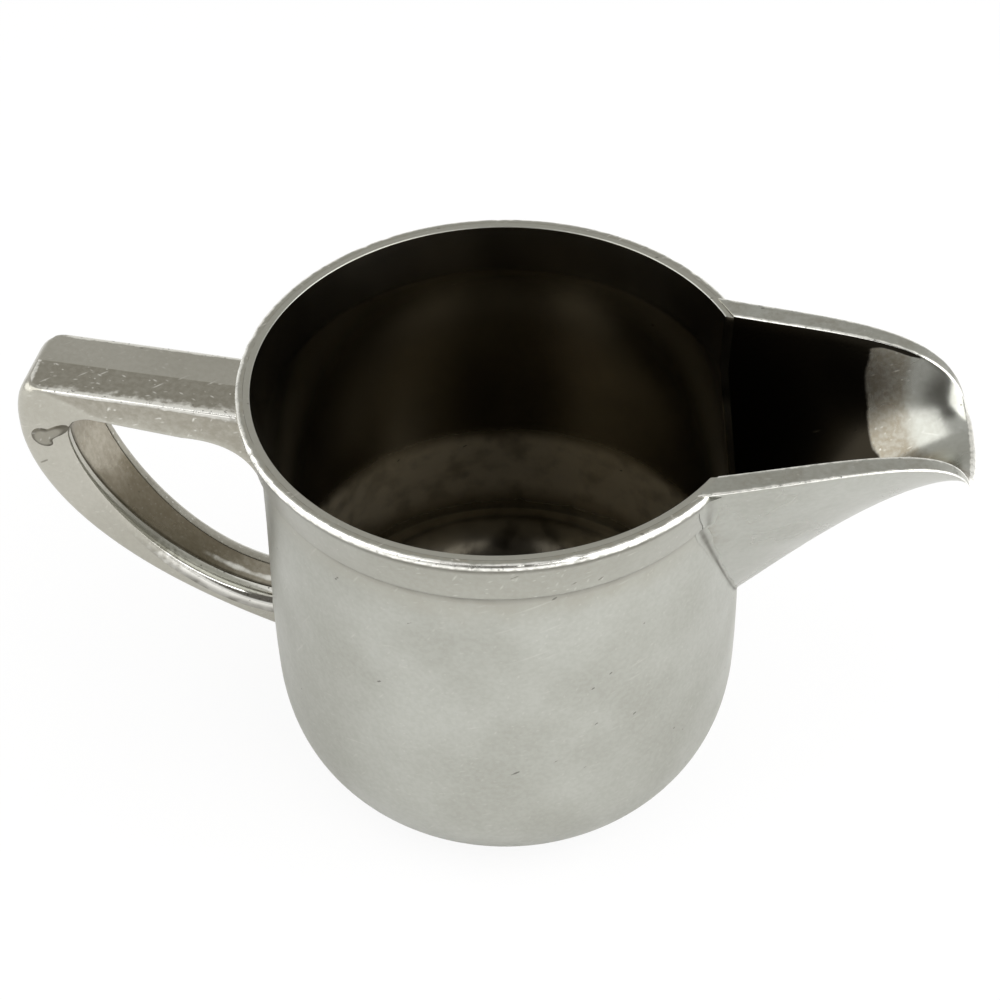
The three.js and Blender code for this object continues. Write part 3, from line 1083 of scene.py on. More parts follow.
        # The band's plate is set darker than the cup's, painted shade for its downward-tilted face.
        dress(self.band(spout).build(), "rim_collar", Finish(
            Slot.WORN, plate=(0.395, 0.394, 0.355), cloud=(0.325, 0.32, 0.28),
            roughness=0.33, grain=0.6, scratches=0.25, breakup=900.0,
        ))


@dataclass
class Spout:
    """Vee-shaped trough with a thick flat edge and a drooping lip, and the bead along its seam.

    A point of it is given by t, from the body to the lip, and by v, from one edge over the keel
    to the other. Lengths are in millimetres.
    """

    body: Body
    tip_x: float = measured("spout_shell", 1, 0)
    root_angle: float = 38.0
    root_depth: float = 40.5
    root_bend: float = 1.42
    lip_bend: float = 2.3
    crest: float = 6.4
    shoulder_half_width: float = 13.6
    shoulder_setback: float = 5.0
    edge_run: float = 0.45
    corner_setback: float = 1.4
    corner_half_width: float = 9.4
    corner_drop: float = 5.6
    tip_drop: float = 7.2
    keel_early_climb: float = 0.42
    lip_upturn: float = 2.4
    edge_width: float = 3.7
    edge_narrowing: float = 2.5
    wall: float = 1.8
    lip_wall: float = 1.1
    overrun: float = 4.0
    edge_rounding: float = 0.32
    arc_steps: int = 6
    flat_steps: int = 8
    columns: int = 61
    crowding: float = 1.15
    rows: int = 150
    lip_rows: int = 7
    lip_end: float = 0.984
    tarnish_end: float = 0.67
    tarnish_slant: float = 0.21
    tarnish_blur: float = 0.1
    clearing_span: Span = (0.04, 0.3)
    smudge_reach: float = 0.09
    bead_leg: float = 0.6
    corner_leg: float = 1.7
    bead_steps: int = 8
    bead_rows: int = 240
    bead_unevenness: float = 0.25
    seam_end: float = 0.985
    seam_probe: float = 0.02
    corner_span: Span = (0.6, 0.98)
    clean_span: Span = (0.8, 0.95)

    def edge_control(self) -> list[Array]:
        """Control points of the top edge's outside, from inside the body to the lip's corner.

        Returns:
            Four points.
        """
        height = self.body.rim_height
        angle = math.radians(self.root_angle)
        radius = self.body.neck_radius
        joint = np.array([radius * math.cos(angle), radius * math.sin(angle), height])
        shoulder_x = self.tip_x - self.shoulder_setback
        shoulder = np.array([shoulder_x, self.shoulder_half_width, height + self.crest])
        corner_x = self.tip_x - self.corner_setback
        corner = np.array([corner_x, self.corner_half_width, height - self.corner_drop])
        middle = lerp(joint, shoulder, self.edge_run)
        middle[2] = height
        return [joint - unit(middle - joint) * self.overrun, middle, shoulder, corner]

    def keel_control(self) -> list[Array]:
        """Control points of the bottom's outside, from inside the body to the tip of the lip.

        Returns:
            Four points.
        """
        tip = np.array([self.tip_x, 0.0, self.body.rim_height - self.tip_drop])
        joint = np.array([self.body.neck_radius, 0.0, self.body.rim_height - self.root_depth])
        run = (tip[0] - joint[0]) / 3
        slope = np.array([run, 0.0, (tip[2] - joint[2]) * self.keel_early_climb])
        upturn = np.array([run, 0.0, self.lip_upturn])
        return [joint - unit(slope) * self.overrun, joint + slope, tip - upturn, tip]

    def surface(self, t: Array, v: Array, depth: float) -> Array:
        """Points of the trough.

        Across, x runs from the keel to the edge with the square of v, y in step with v, and z with
        a power of v that grows from a vee at the body to a round trough at the lip.

        Args:
            t: Places from the body to the lip.
            v: Places from edge to edge, from -1 to 1.
            depth: 0 on the outside, 1 on the inside.

        Returns:
            Points of the common shape of t and v.
        """
        t, v = np.broadcast_arrays(t, v)
        keel_points = self.keel_control()
        edge = bezier(self.edge_control(), t)
        keel = bezier(keel_points, t)
        slope = unit(bezier([b - a for a, b in zip(keel_points, keel_points[1:])], t))
        edge_width = lerp(self.edge_width, self.lip_wall, t ** self.edge_narrowing)
        wall = depth * lerp(self.wall, self.lip_wall, t)
        bend = lerp(self.root_bend, self.lip_bend, t)
        x = lerp(keel[..., 0] - slope[..., 2] * wall, edge[..., 0], v * v)
        y = (edge[..., 1] - depth * edge_width) * v
        z = lerp(keel[..., 2] + slope[..., 0] * wall, edge[..., 2], np.abs(v) ** bend)
        return np.stack([x, y, z], axis=-1)

    def root(self, v: Array, depth: float, face: Callable[[Array], Array]) -> Array:
        """Where the trough leaves a turned face.

        Args:
            v: Places from edge to edge.
            depth: 0 on the outside, 1 on the inside.
            face: Radius of the face at a height.

        Returns:
            The values of t, one for each v.
        """

        def standing_out(t: Array) -> Array:
            """How far the trough stands out from that face."""
            points = self.surface(t, v, depth)
            return np.hypot(points[..., 0], points[..., 1]) - face(points[..., 2])

        return crossing(standing_out, np.zeros_like(v), np.ones_like(v))

    def shell(self) -> Skin:
        """The trough's wall: loops over outside, edge, inside and edge, carried from body to lip.

        Returns:
            The trough's skin.
        """
        v = np.linspace(-1, 1, self.columns)
        v = np.sign(v) * np.abs(v) ** self.crowding
        share = evenly(self.rows)[:, None]
        outer, inner = (
            self.surface(lerp(self.root(v, depth, self.body.radius), self.lip_end, share), v, depth)
            for depth in (0.0, 1.0)
        )
        loops = np.concatenate([
            outer[:, 1:-1],
            self.flat_edge(outer[:, -2], outer[:, -1], inner[:, -1], inner[:, -2]),
            inner[:, -2:0:-1],
            self.flat_edge(inner[:, 1], inner[:, 0], outer[:, 0], outer[:, 1]),
        ], axis=1)
        curve = len(v) - 2
        edge = loops.shape[1] // 2 - curve
        pair_sum = 2 * curve + edge - 1
        fold = pinched(loops[-1], pair_sum)
        ahead = pinched(unit(loops[-1] - loops[-2]), pair_sum)
        turn = np.linspace(0, TURN / 4, self.lip_rows)[1:, None, None]
        lip = fold + (loops[-1] - fold) * np.cos(turn) + ahead * (self.lip_wall / 2) * np.sin(turn)
        points = np.concatenate([pinched(loops[0], pair_sum)[None], loops, lip])
        return Skin("spout_trough", points, self.shell_marks(len(points), curve, edge, len(lip)))

    def flat_edge(self, before: Array, first: Array, second: Array, after: Array) -> Array:
        """The flat top edge from one corner to the next, with both corners rounded.

        Args:
            before: Points of the side that runs up to the first corner.
            first: First corner.
            second: Second corner.
            after: Points of the side that runs down from the second corner.

        Returns:
            Points across the edge for each row.
        """
        into = unit(second - first) * self.edge_rounding
        up = first + unit(before - first) * self.edge_rounding
        down = second + unit(after - second) * self.edge_rounding
        bend = evenly(self.arc_steps)
        controls = [(up, first, first + into), (first + into, second - into), (second - into, second, down)]
        shares = [bend, evenly(self.flat_steps)[1:-1], bend]
        return np.concatenate([
            bezier([point[:, None] for point in points], share) for points, share in zip(controls, shares)
        ], axis=1)

    def shell_marks(self, rows: int, curve: int, edge: int, lip: int) -> dict[Mark, Array]:
        """Marks of the trough: tarnish deep inside it, rubbed roundings and lip.

        Args:
            rows: Rows of the grid.
            curve: Columns on the outside, and as many on the inside.
            edge: Columns over each flat edge.
            lip: Rows round the lip.

        Returns:
            The marks.
        """
        count = 2 * (curve + edge)
        share = np.clip(np.linspace(0, rows / (rows - lip), rows), 0, 1)[:, None]
        inside = stretch(count, curve + edge - 2, np.ones(curve + 4))
        across = stretch(count, curve + edge, np.linspace(1, -1, curve))
        end = self.tarnish_end - self.tarnish_slant * across
        tarnish = inside * np.clip(0.5 + (end - share) / self.tarnish_blur, 0, 1)
        arc = np.ones(self.arc_steps - 1)
        arcs = stretch(edge, 1, arc) + stretch(edge, edge - self.arc_steps, arc)
        rubbed = np.tile(np.concatenate([np.zeros(curve), arcs]), 2)
        flats = np.tile(np.concatenate([np.zeros(curve), 1 - arcs]), 2)
        start, stop = self.clearing_span
        clearing = inside * (1 - smooth(share, end + start, end + stop))
        outside = stretch(count, 0, np.abs(np.linspace(-1, 1, curve)))
        smudge = smooth(outside, 0.5, 0.9) * bell(share, self.smudge_reach)
        dull = highest(0.42 * flats, clearing * (1 - flats), 0.62 * smudge)
        edges = 0.65 * np.maximum(rubbed, smooth(share, 0.985, 1.0))
        return {Mark.TARNISH: tarnish, Mark.EDGE: edges, Mark.DULL_AND_PAINTED_LIGHT: dull}

    def seam(self) -> Skin:
        """The solder bead along the seam on the outside of the body.

        Returns:
            The bead's skin.
        """
        v = np.linspace(-self.seam_end, self.seam_end, self.bead_rows)
        t = self.root(v, 0.0, self.body.face)
        line = self.surface(t, v, 0.0)
        piece_way = unit(self.surface(t + self.seam_probe, v, 0.0) - line)
        centre = np.array([self.body.neck_radius, 0.0, self.body.rim_height])
        base_way = over_body(line, np.gradient(line, axis=0), centre)
        uneven = 1 + self.bead_unevenness * np.sin(v * 31.0) * np.sin(v * 13.0 + 0.6)
        leg = lerp(self.bead_leg, self.corner_leg, smooth(np.abs(v), *self.corner_span))
        points = capped(fillet(line, base_way, piece_way, leg * uneven, self.bead_steps))
        low = 1 - smooth(np.abs(with_ends(v)), *self.clean_span)
        return Skin("spout_seam_bead", points, {
            Mark.CREASE: (0.35 + 0.65 * low) * bead_crease(self.bead_steps, 0.42)
        })

    def build(self) -> None:
        """Builds and dresses the trough and its seam."""
        dress(self.shell().build(), "spout_shell", Finish(
            Slot.SATIN, dull=(0.24, 0.214, 0.166), tarnish=(0.014, 0.012, 0.009),
            brown=(0.02, 0.017, 0.012), roughness=0.26, tarnish_roughness=0.2, thin_roughness=0.2,
            grain=0.4, scuffs=0.35, breakup=900.0,
        ))
        dress(self.seam().build(), "spout_solder", Finish(Slot.SOLDER, roughness=0.4))


@dataclass
class Handle:
    """Hollow loop handle: a channel with a flat thumb bar, a closing strip and its solder.

    Lengths are in millimetres. Outlines are pairs of x and z in the plane of the loop. Stations
    count along the loop: 0 to 1 on the bar, to 2 round its end and to 3 down to the foot.
    """

    body: Body
    back_x: float = measured("handle_shell", 0, 0)
    bar_end_top: float = measured("handle_shell", 1, 2)
    bar_rise: float = 2.0
    bar_thickness: float = 5.6
    bar_end_setback: float = 3.4
    bar_end_ease: Span = (0.6, 0.75)
    back_width: float = 8.2
    back_drop: float = 10.0
    back_length: float = 15.0
    foot_height: float = 17.5
    foot_thickness: float = 6.8
    limb_sweep: float = 24.2
    limb_rise: float = 10.0
    opening_corner: float = 4.4
    opening_sweep: float = 18.0
    opening_rise: float = 1.2
    root_depth: float = 6.0
    flare: float = 11.5
    top_width: float = 13.0
    foot_width: float = 10.5
    wall: float = 1.2
    lip_widening: float = 1.8
    lip_span: Span = (1.9, 2.8)
    lip_share: float = 0.88
    strip_thickness: float = 1.0
    strip_inset: float = 0.12
    strip_shift: float = 0.14
    strip_rounds: tuple[float, ...] = (0.3, 0.08, 0.1, 0.1)
    seam: float = 0.16
    edge_round: float = 0.5
    end_round: float = 2.5
    limb_round: float = 2.2
    limb_span: Span = (2.0, 2.85)
    roll_start: float = 0.93
    roll_length: float = 0.07
    roll_fall: float = 0.6
    roll_span: Span = (1.8, 2.6)
    ridge: float = 0.1
    ridge_start: Span = (0.0, 0.3)
    ridge_end: Span = (0.9, 1.3)
    ridge_round: float = 1.2
    hollow_round: float = 0.1
    sink: float = 0.25
    bead_leg: float = 0.8
    bead_steps: int = 8
    bead_round: float = 0.9
    bead_sink: float = 0.02
    bead_arc_steps: int = 10
    bead_side_steps: int = 26
    trim_rows: int = 60
    bar_rows: int = 110
    roll_rows: int = 46
    limb_rows: int = 150
    arc_steps: int = 8
    side_steps: int = 9
    strip_side_steps: int = 14
    patch_radius: float = 1.9
    patch_tail: float = 3.4
    patch_dome: float = 0.22
    patch_turn: float = 32.0
    patch_columns: int = 72
    patch_rows: int = 12

    def outer_lines(self) -> list[Array]:
        """Outside of the loop: the flat bar, the roll at its end, and the back down to the body.

        Returns:
            Three outlines, one for each unit of station.
        """
        share = evenly(FINE)
        neck = self.body.neck_radius
        root_x = self.root_depth - neck
        bar_top = self.bar_end_top - self.bar_rise
        end_x = self.back_x + self.bar_end_setback
        back_z = self.bar_end_top - self.back_drop
        bar = np.array([(root_x, bar_top), (-self.body.rim_radius, bar_top), (end_x, self.bar_end_top)])
        roll = bezier([
            (end_x, self.bar_end_top),
            (lerp(end_x, self.back_x, self.bar_end_ease[0]), self.bar_end_top - self.bar_end_ease[1]),
            (self.back_x, back_z + self.back_drop / 2),
            (self.back_x, back_z),
        ], share)
        back = bezier([
            (self.back_x, back_z),
            (self.back_x, back_z - self.back_length),
            (-neck - self.limb_sweep, self.foot_height + self.limb_rise),
            (-neck, self.foot_height),
        ], share)
        tail = np.array([back[-1], (root_x, self.foot_height - self.root_depth / 2)])
        return [bar, roll, chained(back, tail)]

    def inner_lines(self) -> list[Array]:
        """Edge of the finger opening, in lengths that answer to those of the outside.

        Returns:
            Three outlines, one for each unit of station.
        """
        share = evenly(FINE)
        neck = self.body.neck_radius
        root_x = self.root_depth - neck
        under_end = self.bar_end_top - self.bar_thickness
        under_bar = under_end - self.bar_rise
        flare_foot = under_bar - self.flare
        back = self.back_x + self.back_width
        foot_top = self.foot_height + self.foot_thickness
        flare = bezier([(-neck, flare_foot), (-neck, under_bar), (-neck - self.flare, under_bar)], share)
        lead = np.array([(root_x, flare_foot), flare[0]])
        bar = chained(lead, flare, np.array([flare[-1], (back + self.opening_corner, under_end)]))
        corner = bezier([bar[-1], (back, under_end), (back, under_end - self.opening_corner)], share)
        limb = bezier([
            corner[-1],
            (back, under_end - self.back_length),
            (-neck - self.opening_sweep, foot_top + self.opening_rise),
            (-neck, foot_top),
        ], share)
        tail = np.array([limb[-1], (root_x, foot_top - self.root_depth / 4)])
        return [bar, corner, chained(limb, tail)]

    def rails(self) -> tuple[Array, Array, Array]:
        """Matching places along the outside and the opening.

        Returns:
            Outer points, inner points, and the station of each.
        """
        shares = [evenly(self.bar_rows)[:-1], evenly(self.roll_rows)[:-1], evenly(self.limb_rows)]
        outer = np.concatenate([along(line, share) for line, share in zip(self.outer_lines(), shares)])
        inner = np.concatenate([along(line, share) for line, share in zip(self.inner_lines(), shares)])
        return outer, inner, np.concatenate([number + share for number, share in enumerate(shares)])

    def half_width(self, height: Array) -> Array:
        """Half the loop's width, which narrows evenly from the bar down to the foot.

        Args:
            height: Heights above the base.

        Returns:
            The half widths.
        """
        bar_top = self.bar_end_top - self.bar_rise
        slope = (self.top_width - self.foot_width) / (bar_top - self.foot_height)
        return (self.top_width - slope * (bar_top - height)) / 2

    def lip_width(self, station: Array) -> Array:
        """Width of the channel's lips beside the strip, wider towards the foot."""
        return self.wall + self.lip_widening * smooth(station, *self.lip_span)

    def corner(self, line: Array, side: float, inset: Array | float = 0.0) -> Array:
        """Corner points along a line of the loop.

        Args:
            line: Pairs of x and z.
            side: -1 for the near side, 1 for the far side, 0 for the middle.
            inset: Distance in from that side.

        Returns:
            Points of shape (places, 3).
        """
        y = side * (self.half_width(line[:, 1]) - inset)
        return np.stack([line[:, 0], y, line[:, 1]], axis=-1)

    def section(self, *corners: tuple) -> Array:
        """The corners of a section all along the loop, each given by its line, side and inset."""
        return np.stack([self.corner(*corner) for corner in corners], axis=1)

    def trimmed(self, points: Array, sink: float) -> Array:
        """Draws the first and last stretch of a grid's columns back to the body's face.

        Args:
            points: Grid that starts and ends inside the body.
            sink: How far its ends stay within the wall.

        Returns:
            The grid with its ends on the wall.
        """
        rows = len(points)
        gap = self.body.gap(points, sink)
        outside = gap > 0
        column = np.arange(points.shape[1])

        def meeting(after: Array, before: Array) -> Array:
            """Row, with its fraction, at which each column meets the face."""
            far = gap[after, column]
            return after + (before - after) * far / (far - gap[before, column])

        first = outside.argmax(axis=0)
        last = rows - 1 - outside[::-1].argmax(axis=0)
        block = self.trim_rows
        number = np.arange(rows)[:, None].astype(float)
        head = lerp(meeting(first, first - 1), float(block), number / block)
        tail = lerp(meeting(last, last + 1), float(rows - 1 - block), (rows - 1 - number) / block)
        place = np.where(number < block, head, np.where(number > rows - 1 - block, tail, number))
        low = np.clip(place.astype(int), 0, rows - 2)
        return lerp(points[low, column], points[low + 1, column], (place - low)[..., None])

    def channel(self) -> Skin:
        """The channel: a hollow section carried round the loop, open towards the finger.

        Its section runs over the near side, the outer face with a faint ridge, the far side and
        the two lips, and back through the hollow.

        Returns:
            The channel's skin.
        """
        outer, inner, station = self.rails()
        way = unit(outer - inner)
        hollow = outer - way * self.wall
        lip = self.lip_width(station)
        on_bar = smooth(station, *self.ridge_start) * (1 - smooth(station, *self.ridge_end))
        crown = outer + way * (self.ridge * on_bar)[:, None]
        corners = self.section(
            (inner, -1.0), (outer, -1.0), (crown, 0.0), (outer, 1.0), (inner, 1.0), (inner, 1.0, lip),
            (hollow, 1.0, lip), (hollow, 0.0), (hollow, -1.0, lip), (inner, -1.0, lip),
        )
        turn_in = np.clip((station - self.roll_start) / self.roll_length, 0, 1)
        roll = (1 - np.sqrt(1 - turn_in ** 2)) * (1 - self.roll_fall * smooth(station, *self.roll_span))
        outer_round = lerp(self.edge_round, self.end_round, roll)
        limb_round = self.edge_round + self.limb_round * smooth(station, *self.limb_span)
        inner_round = np.minimum(limb_round, self.lip_share * lip)
        wide = np.full_like(station, self.ridge_round)
        small = np.full_like(station, self.hollow_round)
        radii = np.stack([inner_round, outer_round, wide, outer_round, inner_round] + [small] * 5, axis=1)
        loops = self.trimmed(rounded_loop(corners, radii, self.arc_steps, self.side_steps), self.sink)
        points = folded(loops, 9 * (self.arc_steps + self.side_steps) + self.arc_steps - 1)
        return Skin("handle_channel", points, self.channel_marks(with_ends(station)))

    def channel_marks(self, station: Array) -> dict[Mark, Array]:
        """Marks of the channel: a darker near half of the bar that is a painted reflection, rubbed edges,
        and a beaded limb with a painted dark reflection beside its bead.

        Args:
            station: Station of each row, as a column.

        Returns:
            The marks.
        """
        arc, side = self.arc_steps, self.side_steps
        block = arc + side
        count = 10 * block
        along_bar = 1 - smooth(station, 0.9, 1.0)
        along_limb = smooth(station, 2.3, 2.7)
        near_half = stretch(count, block + arc, np.ones(side + arc // 2))
        hollow = corner_marks([0, 0, 0, 0, 0, 0, 0.8, 0.8, 0.8, 0.8], arc, side)
        # Painted reflection: a dark line beside the limb's bead.
        bead_reflection = stretch(count, arc - 3, [0.45, 0.85, 1.0]) * along_limb
        under_line = stretch(count, block, [0.7]) * along_bar
        sharp = corner_marks([0, 0.8, 0, 0.8, 0, 0, 0, 0, 0, 0], arc, side)
        beside_edge = stretch(count, block + arc, [0.44, 0.36, 0.27, 0.16])
        end_line = 0.8 * near_half * bell(station - 0.997, 0.011)
        bead = np.roll(stretch(count, 0, np.full(block, 0.85)), -side) * along_limb
        under_edge = stretch(count, arc, np.linspace(0.5, 0.9, side)) * along_bar
        far_lip = stretch(count, 4 * block + arc - 3, np.full(block + 3, 0.6)) * smooth(station, 1.2, 1.5)
        # Painted reflection: the near half of the bar is dulled darker.
        near_half_reflection = near_half * (1 - smooth(station, 0.98, 1.02))
        return {
            Mark.EDGE: highest(np.maximum(sharp, beside_edge) * along_bar, end_line, bead),
            Mark.DULL_AND_PAINTED_LIGHT: highest(near_half_reflection, under_edge, far_lip),
            Mark.CREASE: highest(hollow, bead_reflection, under_line),
        }

    def strip(self) -> Skin:
        """The closing strip: a flat bar section carried along the opening between the lips.

        Returns:
            The strip's skin.
        """
        outer, inner, station = self.rails()
        way = unit(outer - inner)
        face = inner + way * self.strip_inset
        back = face + way * self.strip_thickness
        near_inset = self.lip_width(station) + self.seam
        far_inset = near_inset - self.strip_shift
        corners = self.section(
            (face, -1.0, near_inset), (face, 1.0, far_inset),
            (back, 1.0, far_inset), (back, -1.0, near_inset),
        )
        arc, side = self.arc_steps, self.strip_side_steps
        radii = np.broadcast_to(self.strip_rounds, corners.shape[:2])
        loops = self.trimmed(rounded_loop(corners, radii, arc, side), self.sink)
        points = folded(loops, 3 * (arc + side) + arc - 1)
        station = with_ends(station)
        shine = stretch(4 * (arc + side), arc + 2, [0.3, 0.5, 0.56, 0.5, 0.3])
        return Skin("handle_strip", points, {
            Mark.CREASE: corner_marks([0.8, 0.0, 1.0, 1.0], arc, side),
            Mark.DULL_AND_PAINTED_LIGHT: 0.75 * smooth(station, 2.0, 2.35) * (1 - 0.6 * smooth(station, 2.6, 2.9)),
            Mark.EDGE: shine * smooth(station, 2.4, 2.75),
        })

    def joint_bead(self, name: str, at_top: bool) -> Skin:
        """The solder ring round one end of the handle.

        Args:
            name: Name of the piece.
            at_top: Whether it is the upper end.

        Returns:
            The ring's skin.
        """
        outer, inner, _ = self.rails()
        corners = self.section((inner, -1.0), (outer, -1.0), (outer, 1.0), (inner, 1.0))
        radii = np.full(corners.shape[:2], self.bead_round)
        loops = rounded_loop(corners, radii, self.bead_arc_steps, self.bead_side_steps)
        loops = self.trimmed(loops, self.bead_sink)
        if not at_top:
            loops = loops[::-1]
        seam = loops[0]
        run = np.roll(seam, -1, axis=0) - np.roll(seam, 1, axis=0)
        base_way = over_body(seam, run, seam.mean(axis=0))
        leg = np.full(len(seam), self.bead_leg)
        points = fillet(seam, base_way, unit(loops[3] - seam), leg, self.bead_steps)
        return Skin(name, points, {Mark.CREASE: 0.8 * bead_crease(self.bead_steps, 0.35)}, ring=True)

    def patch(self) -> Skin:
        """The comma of solder on the near side: a low dome on a round spot that swells to a tail.

        Returns:
            The patch's skin.
        """
        centre = np.array([self.back_x + self.back_width / 2, self.bar_end_top - self.back_drop])
        angle = np.linspace(0, TURN, self.patch_columns, endpoint=False)
        apart = wrapped(angle - math.radians(self.patch_turn))
        reach = self.patch_radius + self.patch_tail * bell(apart, 0.3) - 0.5 * bell(apart + 0.9, 0.4)
        rings = evenly(self.patch_rows)
        share = np.concatenate([rings, [0.97, 0.0]])[:, None]
        height = np.concatenate([self.patch_dome * np.sqrt(1 - rings ** 4), [-0.1, -0.1]])[:, None]
        x = centre[0] + share * reach * np.cos(angle)
        z = centre[1] + share * reach * np.sin(angle)
        y = -self.half_width(z) - height
        crease = np.concatenate([smooth(rings, 0.6, 0.85), [1.0, 1.0]])[:, None]
        return Skin("handle_patch", np.stack([x, y, z], axis=-1), {
            Mark.CREASE: crease, Mark.DULL_AND_PAINTED_LIGHT: np.ones((1, 1))
        })

    def build(self) -> None:
        """Builds and dresses the channel, its strip and its solder."""
        solder = Finish(Slot.SOLDER, roughness=0.4)
        dress(self.channel().build(), "handle_shell", Finish(
            Slot.WORN, plate=(0.47, 0.457, 0.407), cloud=(0.39, 0.377, 0.328), dull=(0.29, 0.273, 0.228),
            roughness=0.22, edge_roughness=0.12, grain=0.35, scratches=0.2, breakup=700.0,
        ))
        dress(self.strip().build(), "handle_inner_strip", Finish(
            Slot.TARNISHED, plate=(0.41, 0.38, 0.315), cloud=(0.27, 0.24, 0.185), dull=(0.17, 0.145, 0.1),
            roughness=0.28, cloudiness=0.85, cloud_scale=110.0, scuffs=0.12,
        ))
        dress(self.joint_bead("handle_upper_bead", True).build(), "handle_upper_solder", solder)
        dress(self.joint_bead("handle_lower_bead", False).build(), "handle_lower_solder", solder)
        patch_finish = Finish(Slot.SOLDER, dull=(0.27, 0.256, 0.215), roughness=0.4)
        dress(self.patch().build(), "handle_solder_patch", patch_finish)


# Floor, light and camera


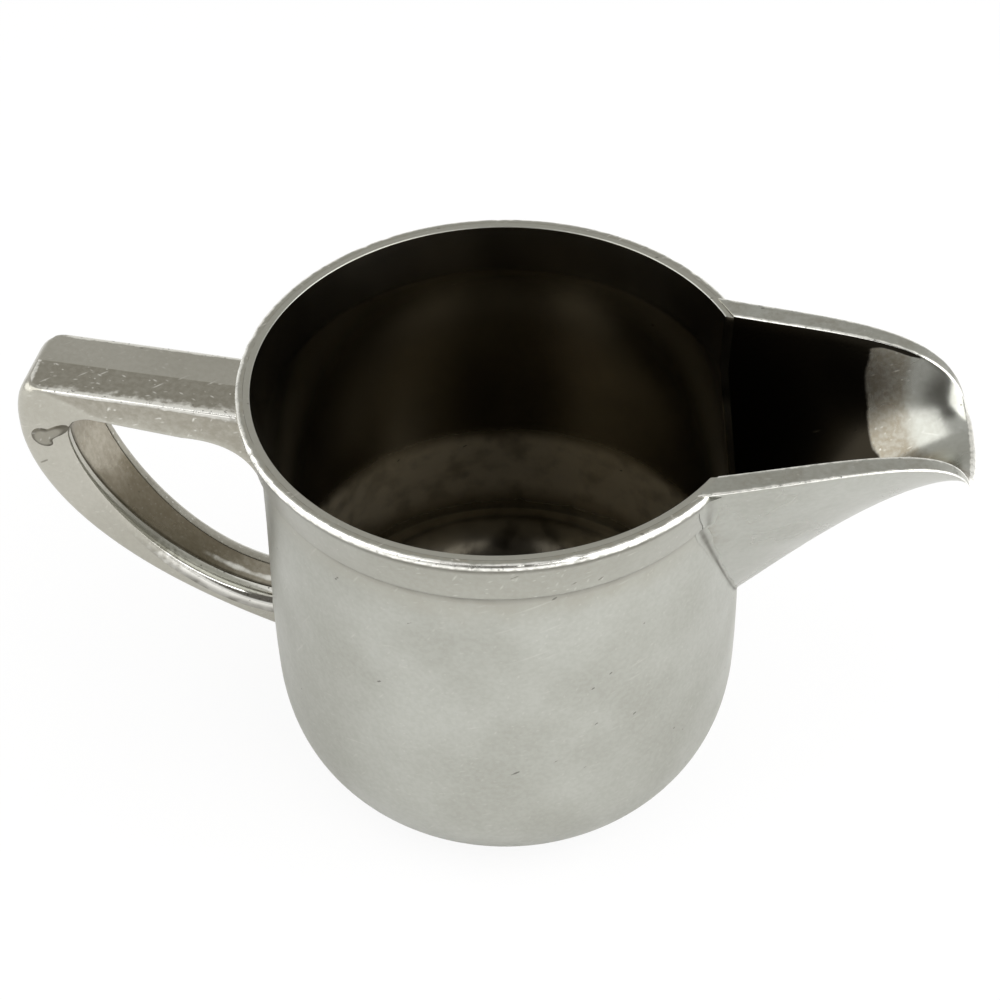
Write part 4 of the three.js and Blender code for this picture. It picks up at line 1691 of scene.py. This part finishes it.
@dataclass
class Studio:
    """Pale floor, soft light and the camera at the photograph's angle. Lengths are in metres."""

    floor_half: float = 6.0
    floor_drop: float = 0.0001
    floor_colour: Colour = (0.9, 0.9, 0.9)
    floor_clear: float = 0.88
    horizon: Colour = (0.85, 0.85, 0.84)
    shoulder: Colour = (0.65, 0.645, 0.62)
    zenith: Colour = (0.75, 0.75, 0.74)
    dark_side: Colour = (0.1, 0.095, 0.085)
    shoulder_rise: Span = (0.15, 0.6)
    zenith_rise: Span = (0.75, 0.95)
    dark_facing: Span = (0.77, 0.91)
    key_place: Place = (0.42, -0.1, 0.3)
    key_size: float = 0.7
    key_power: float = 3.6
    fill_place: Place = (-0.44, -0.16, 0.38)
    fill_size: float = 0.8
    fill_power: float = 2.9
    azimuth: float = 9.8
    elevation: float = 44.72
    roll: float = -1.5
    distance: float = 0.27505
    target: Place = (-0.0017, 0.00746, 0.04)
    lens: float = 61.93
    sensor: float = 36.0
    near_clip: float = 0.01

    def floor(self) -> None:
        """A flat floor that looks white and still takes the object's shadow."""
        half, low = self.floor_half, -self.floor_drop
        corners = [(-half, -half, low), (half, -half, low), (half, half, low), (-half, half, low)]
        mesh = bpy.data.meshes.new("floor")
        mesh.from_pydata(corners, [], [(0, 1, 2, 3)])
        floor = bpy.data.objects.new("floor", mesh)
        bpy.context.scene.collection.objects.link(floor)
        material = bpy.data.materials.new("floor_paper")
        wiring = cleared(material)
        path = wiring.add("ShaderNodeLightPath").outputs
        seen = wiring.most(path["Is Camera Ray"], path["Is Transmission Ray"])
        paper = wiring.add("ShaderNodeBsdfDiffuse", {"Color": (*self.floor_colour, 1.0)})
        white = wiring.add("ShaderNodeEmission", {"Color": (1.0, 1.0, 1.0, 1.0), "Strength": 1.0})
        mixed = wiring.add("ShaderNodeMixShader", {
            "Fac": wiring.times(seen, self.floor_clear),
            "Shader": paper.outputs[0],
            "Shader_001": white.outputs[0],
        })
        wiring.add("ShaderNodeOutputMaterial", {"Surface": mixed.outputs[0]})
        mesh.materials.append(material)

    def sky(self) -> None:
        """Soft surroundings: pale at the horizon, greyer higher up, and dark round the camera."""
        world = bpy.data.worlds.new("studio")
        bpy.context.scene.world = world
        wiring = cleared(world)
        way = wiring.add("ShaderNodeTexCoord").outputs["Generated"]
        height = wiring.add("ShaderNodeSeparateXYZ", {"Vector": way}).outputs["Z"]
        colour = wiring.blend(wiring.step(height, *self.shoulder_rise), self.horizon, self.shoulder)
        colour = wiring.blend(wiring.step(height, *self.zenith_rise), colour, self.zenith)
        inputs = {"Vector": way, "Vector_001": tuple(self.camera_way())}
        facing = wiring.add("ShaderNodeVectorMath", inputs, operation="DOT_PRODUCT").outputs["Value"]
        colour = wiring.blend(wiring.step(facing, *self.dark_facing), colour, self.dark_side)
        light = wiring.add("ShaderNodeBackground", {"Color": colour, "Strength": 1.0})
        wiring.add("ShaderNodeOutputWorld", {"Surface": light.outputs[0]})

    def stand(self, place: Array, back: Array, upright: Place, tip: float = 0.0) -> Matrix:
        """The matrix of something that stands at a place and looks away from its back.

        Args:
            place: Where it stands.
            back: Unit direction out of its back.
            upright: Direction that it keeps upright.
            tip: Angle by which it is then tipped, in radians.

        Returns:
            The matrix.
        """
        level = unit(np.cross(upright, back))
        rise = np.cross(back, level)
        right = math.cos(tip) * level + math.sin(tip) * rise
        up = math.cos(tip) * rise - math.sin(tip) * level
        columns = np.stack([right, up, back, place], axis=1)
        return Matrix(np.vstack([columns, [0.0, 0.0, 0.0, 1.0]]).tolist())

    def lamp(self, name: str, place: Place, size: float, power: float) -> None:
        """A square soft lamp that faces the object.

        Args:
            name: Name of the lamp.
            place: Where it hangs.
            size: Length of its side.
            power: Its power in watts.
        """
        data = bpy.data.lights.new(name, "AREA")
        data.shape = "SQUARE"
        data.size = size
        data.energy = power
        lamp = bpy.data.objects.new(name, data)
        lamp.visible_camera = False
        back = unit(np.array(place) - np.array(self.target))
        lamp.matrix_world = self.stand(np.array(place), back, (0.0, 1.0, 0.0))
        bpy.context.scene.collection.objects.link(lamp)

    def camera_way(self) -> Array:
        """Unit direction from the target to the camera.

        Returns:
            The direction.
        """
        turn = math.radians(self.azimuth)
        lift = math.radians(self.elevation)
        return np.array([math.sin(turn) * math.cos(lift), -math.cos(turn) * math.cos(lift), math.sin(lift)])

    def camera(self) -> None:
        """The camera, turned round its target by azimuth and elevation and tipped by its roll."""
        data = bpy.data.cameras.new("camera")
        data.lens = self.lens
        data.sensor_width = self.sensor
        data.clip_start = self.near_clip
        camera = bpy.data.objects.new("camera", data)
        back = self.camera_way()
        place = np.array(self.target) + back * self.distance
        camera.matrix_world = self.stand(place, back, (0.0, 0.0, 1.0), math.radians(self.roll))
        bpy.context.scene.collection.objects.link(camera)
        bpy.context.scene.camera = camera

    def build(self) -> None:
        """Sets up the floor, the light and the camera."""
        self.floor()
        self.sky()
        self.lamp("key", self.key_place, self.key_size, self.key_power)
        self.lamp("fill", self.fill_place, self.fill_size, self.fill_power)
        self.camera()
        bpy.context.scene.view_settings.view_transform = "Standard"


def main() -> None:
    """Builds the studio and the creamer, piece by piece."""
    logging.basicConfig(level=logging.INFO, format="%(name)s: %(message)s")
    Studio().build()
    body = Body()
    spout = Spout(body)
    body.build(spout)
    spout.build()
    Handle(body).build()


if __name__ == "__main__":
    main()
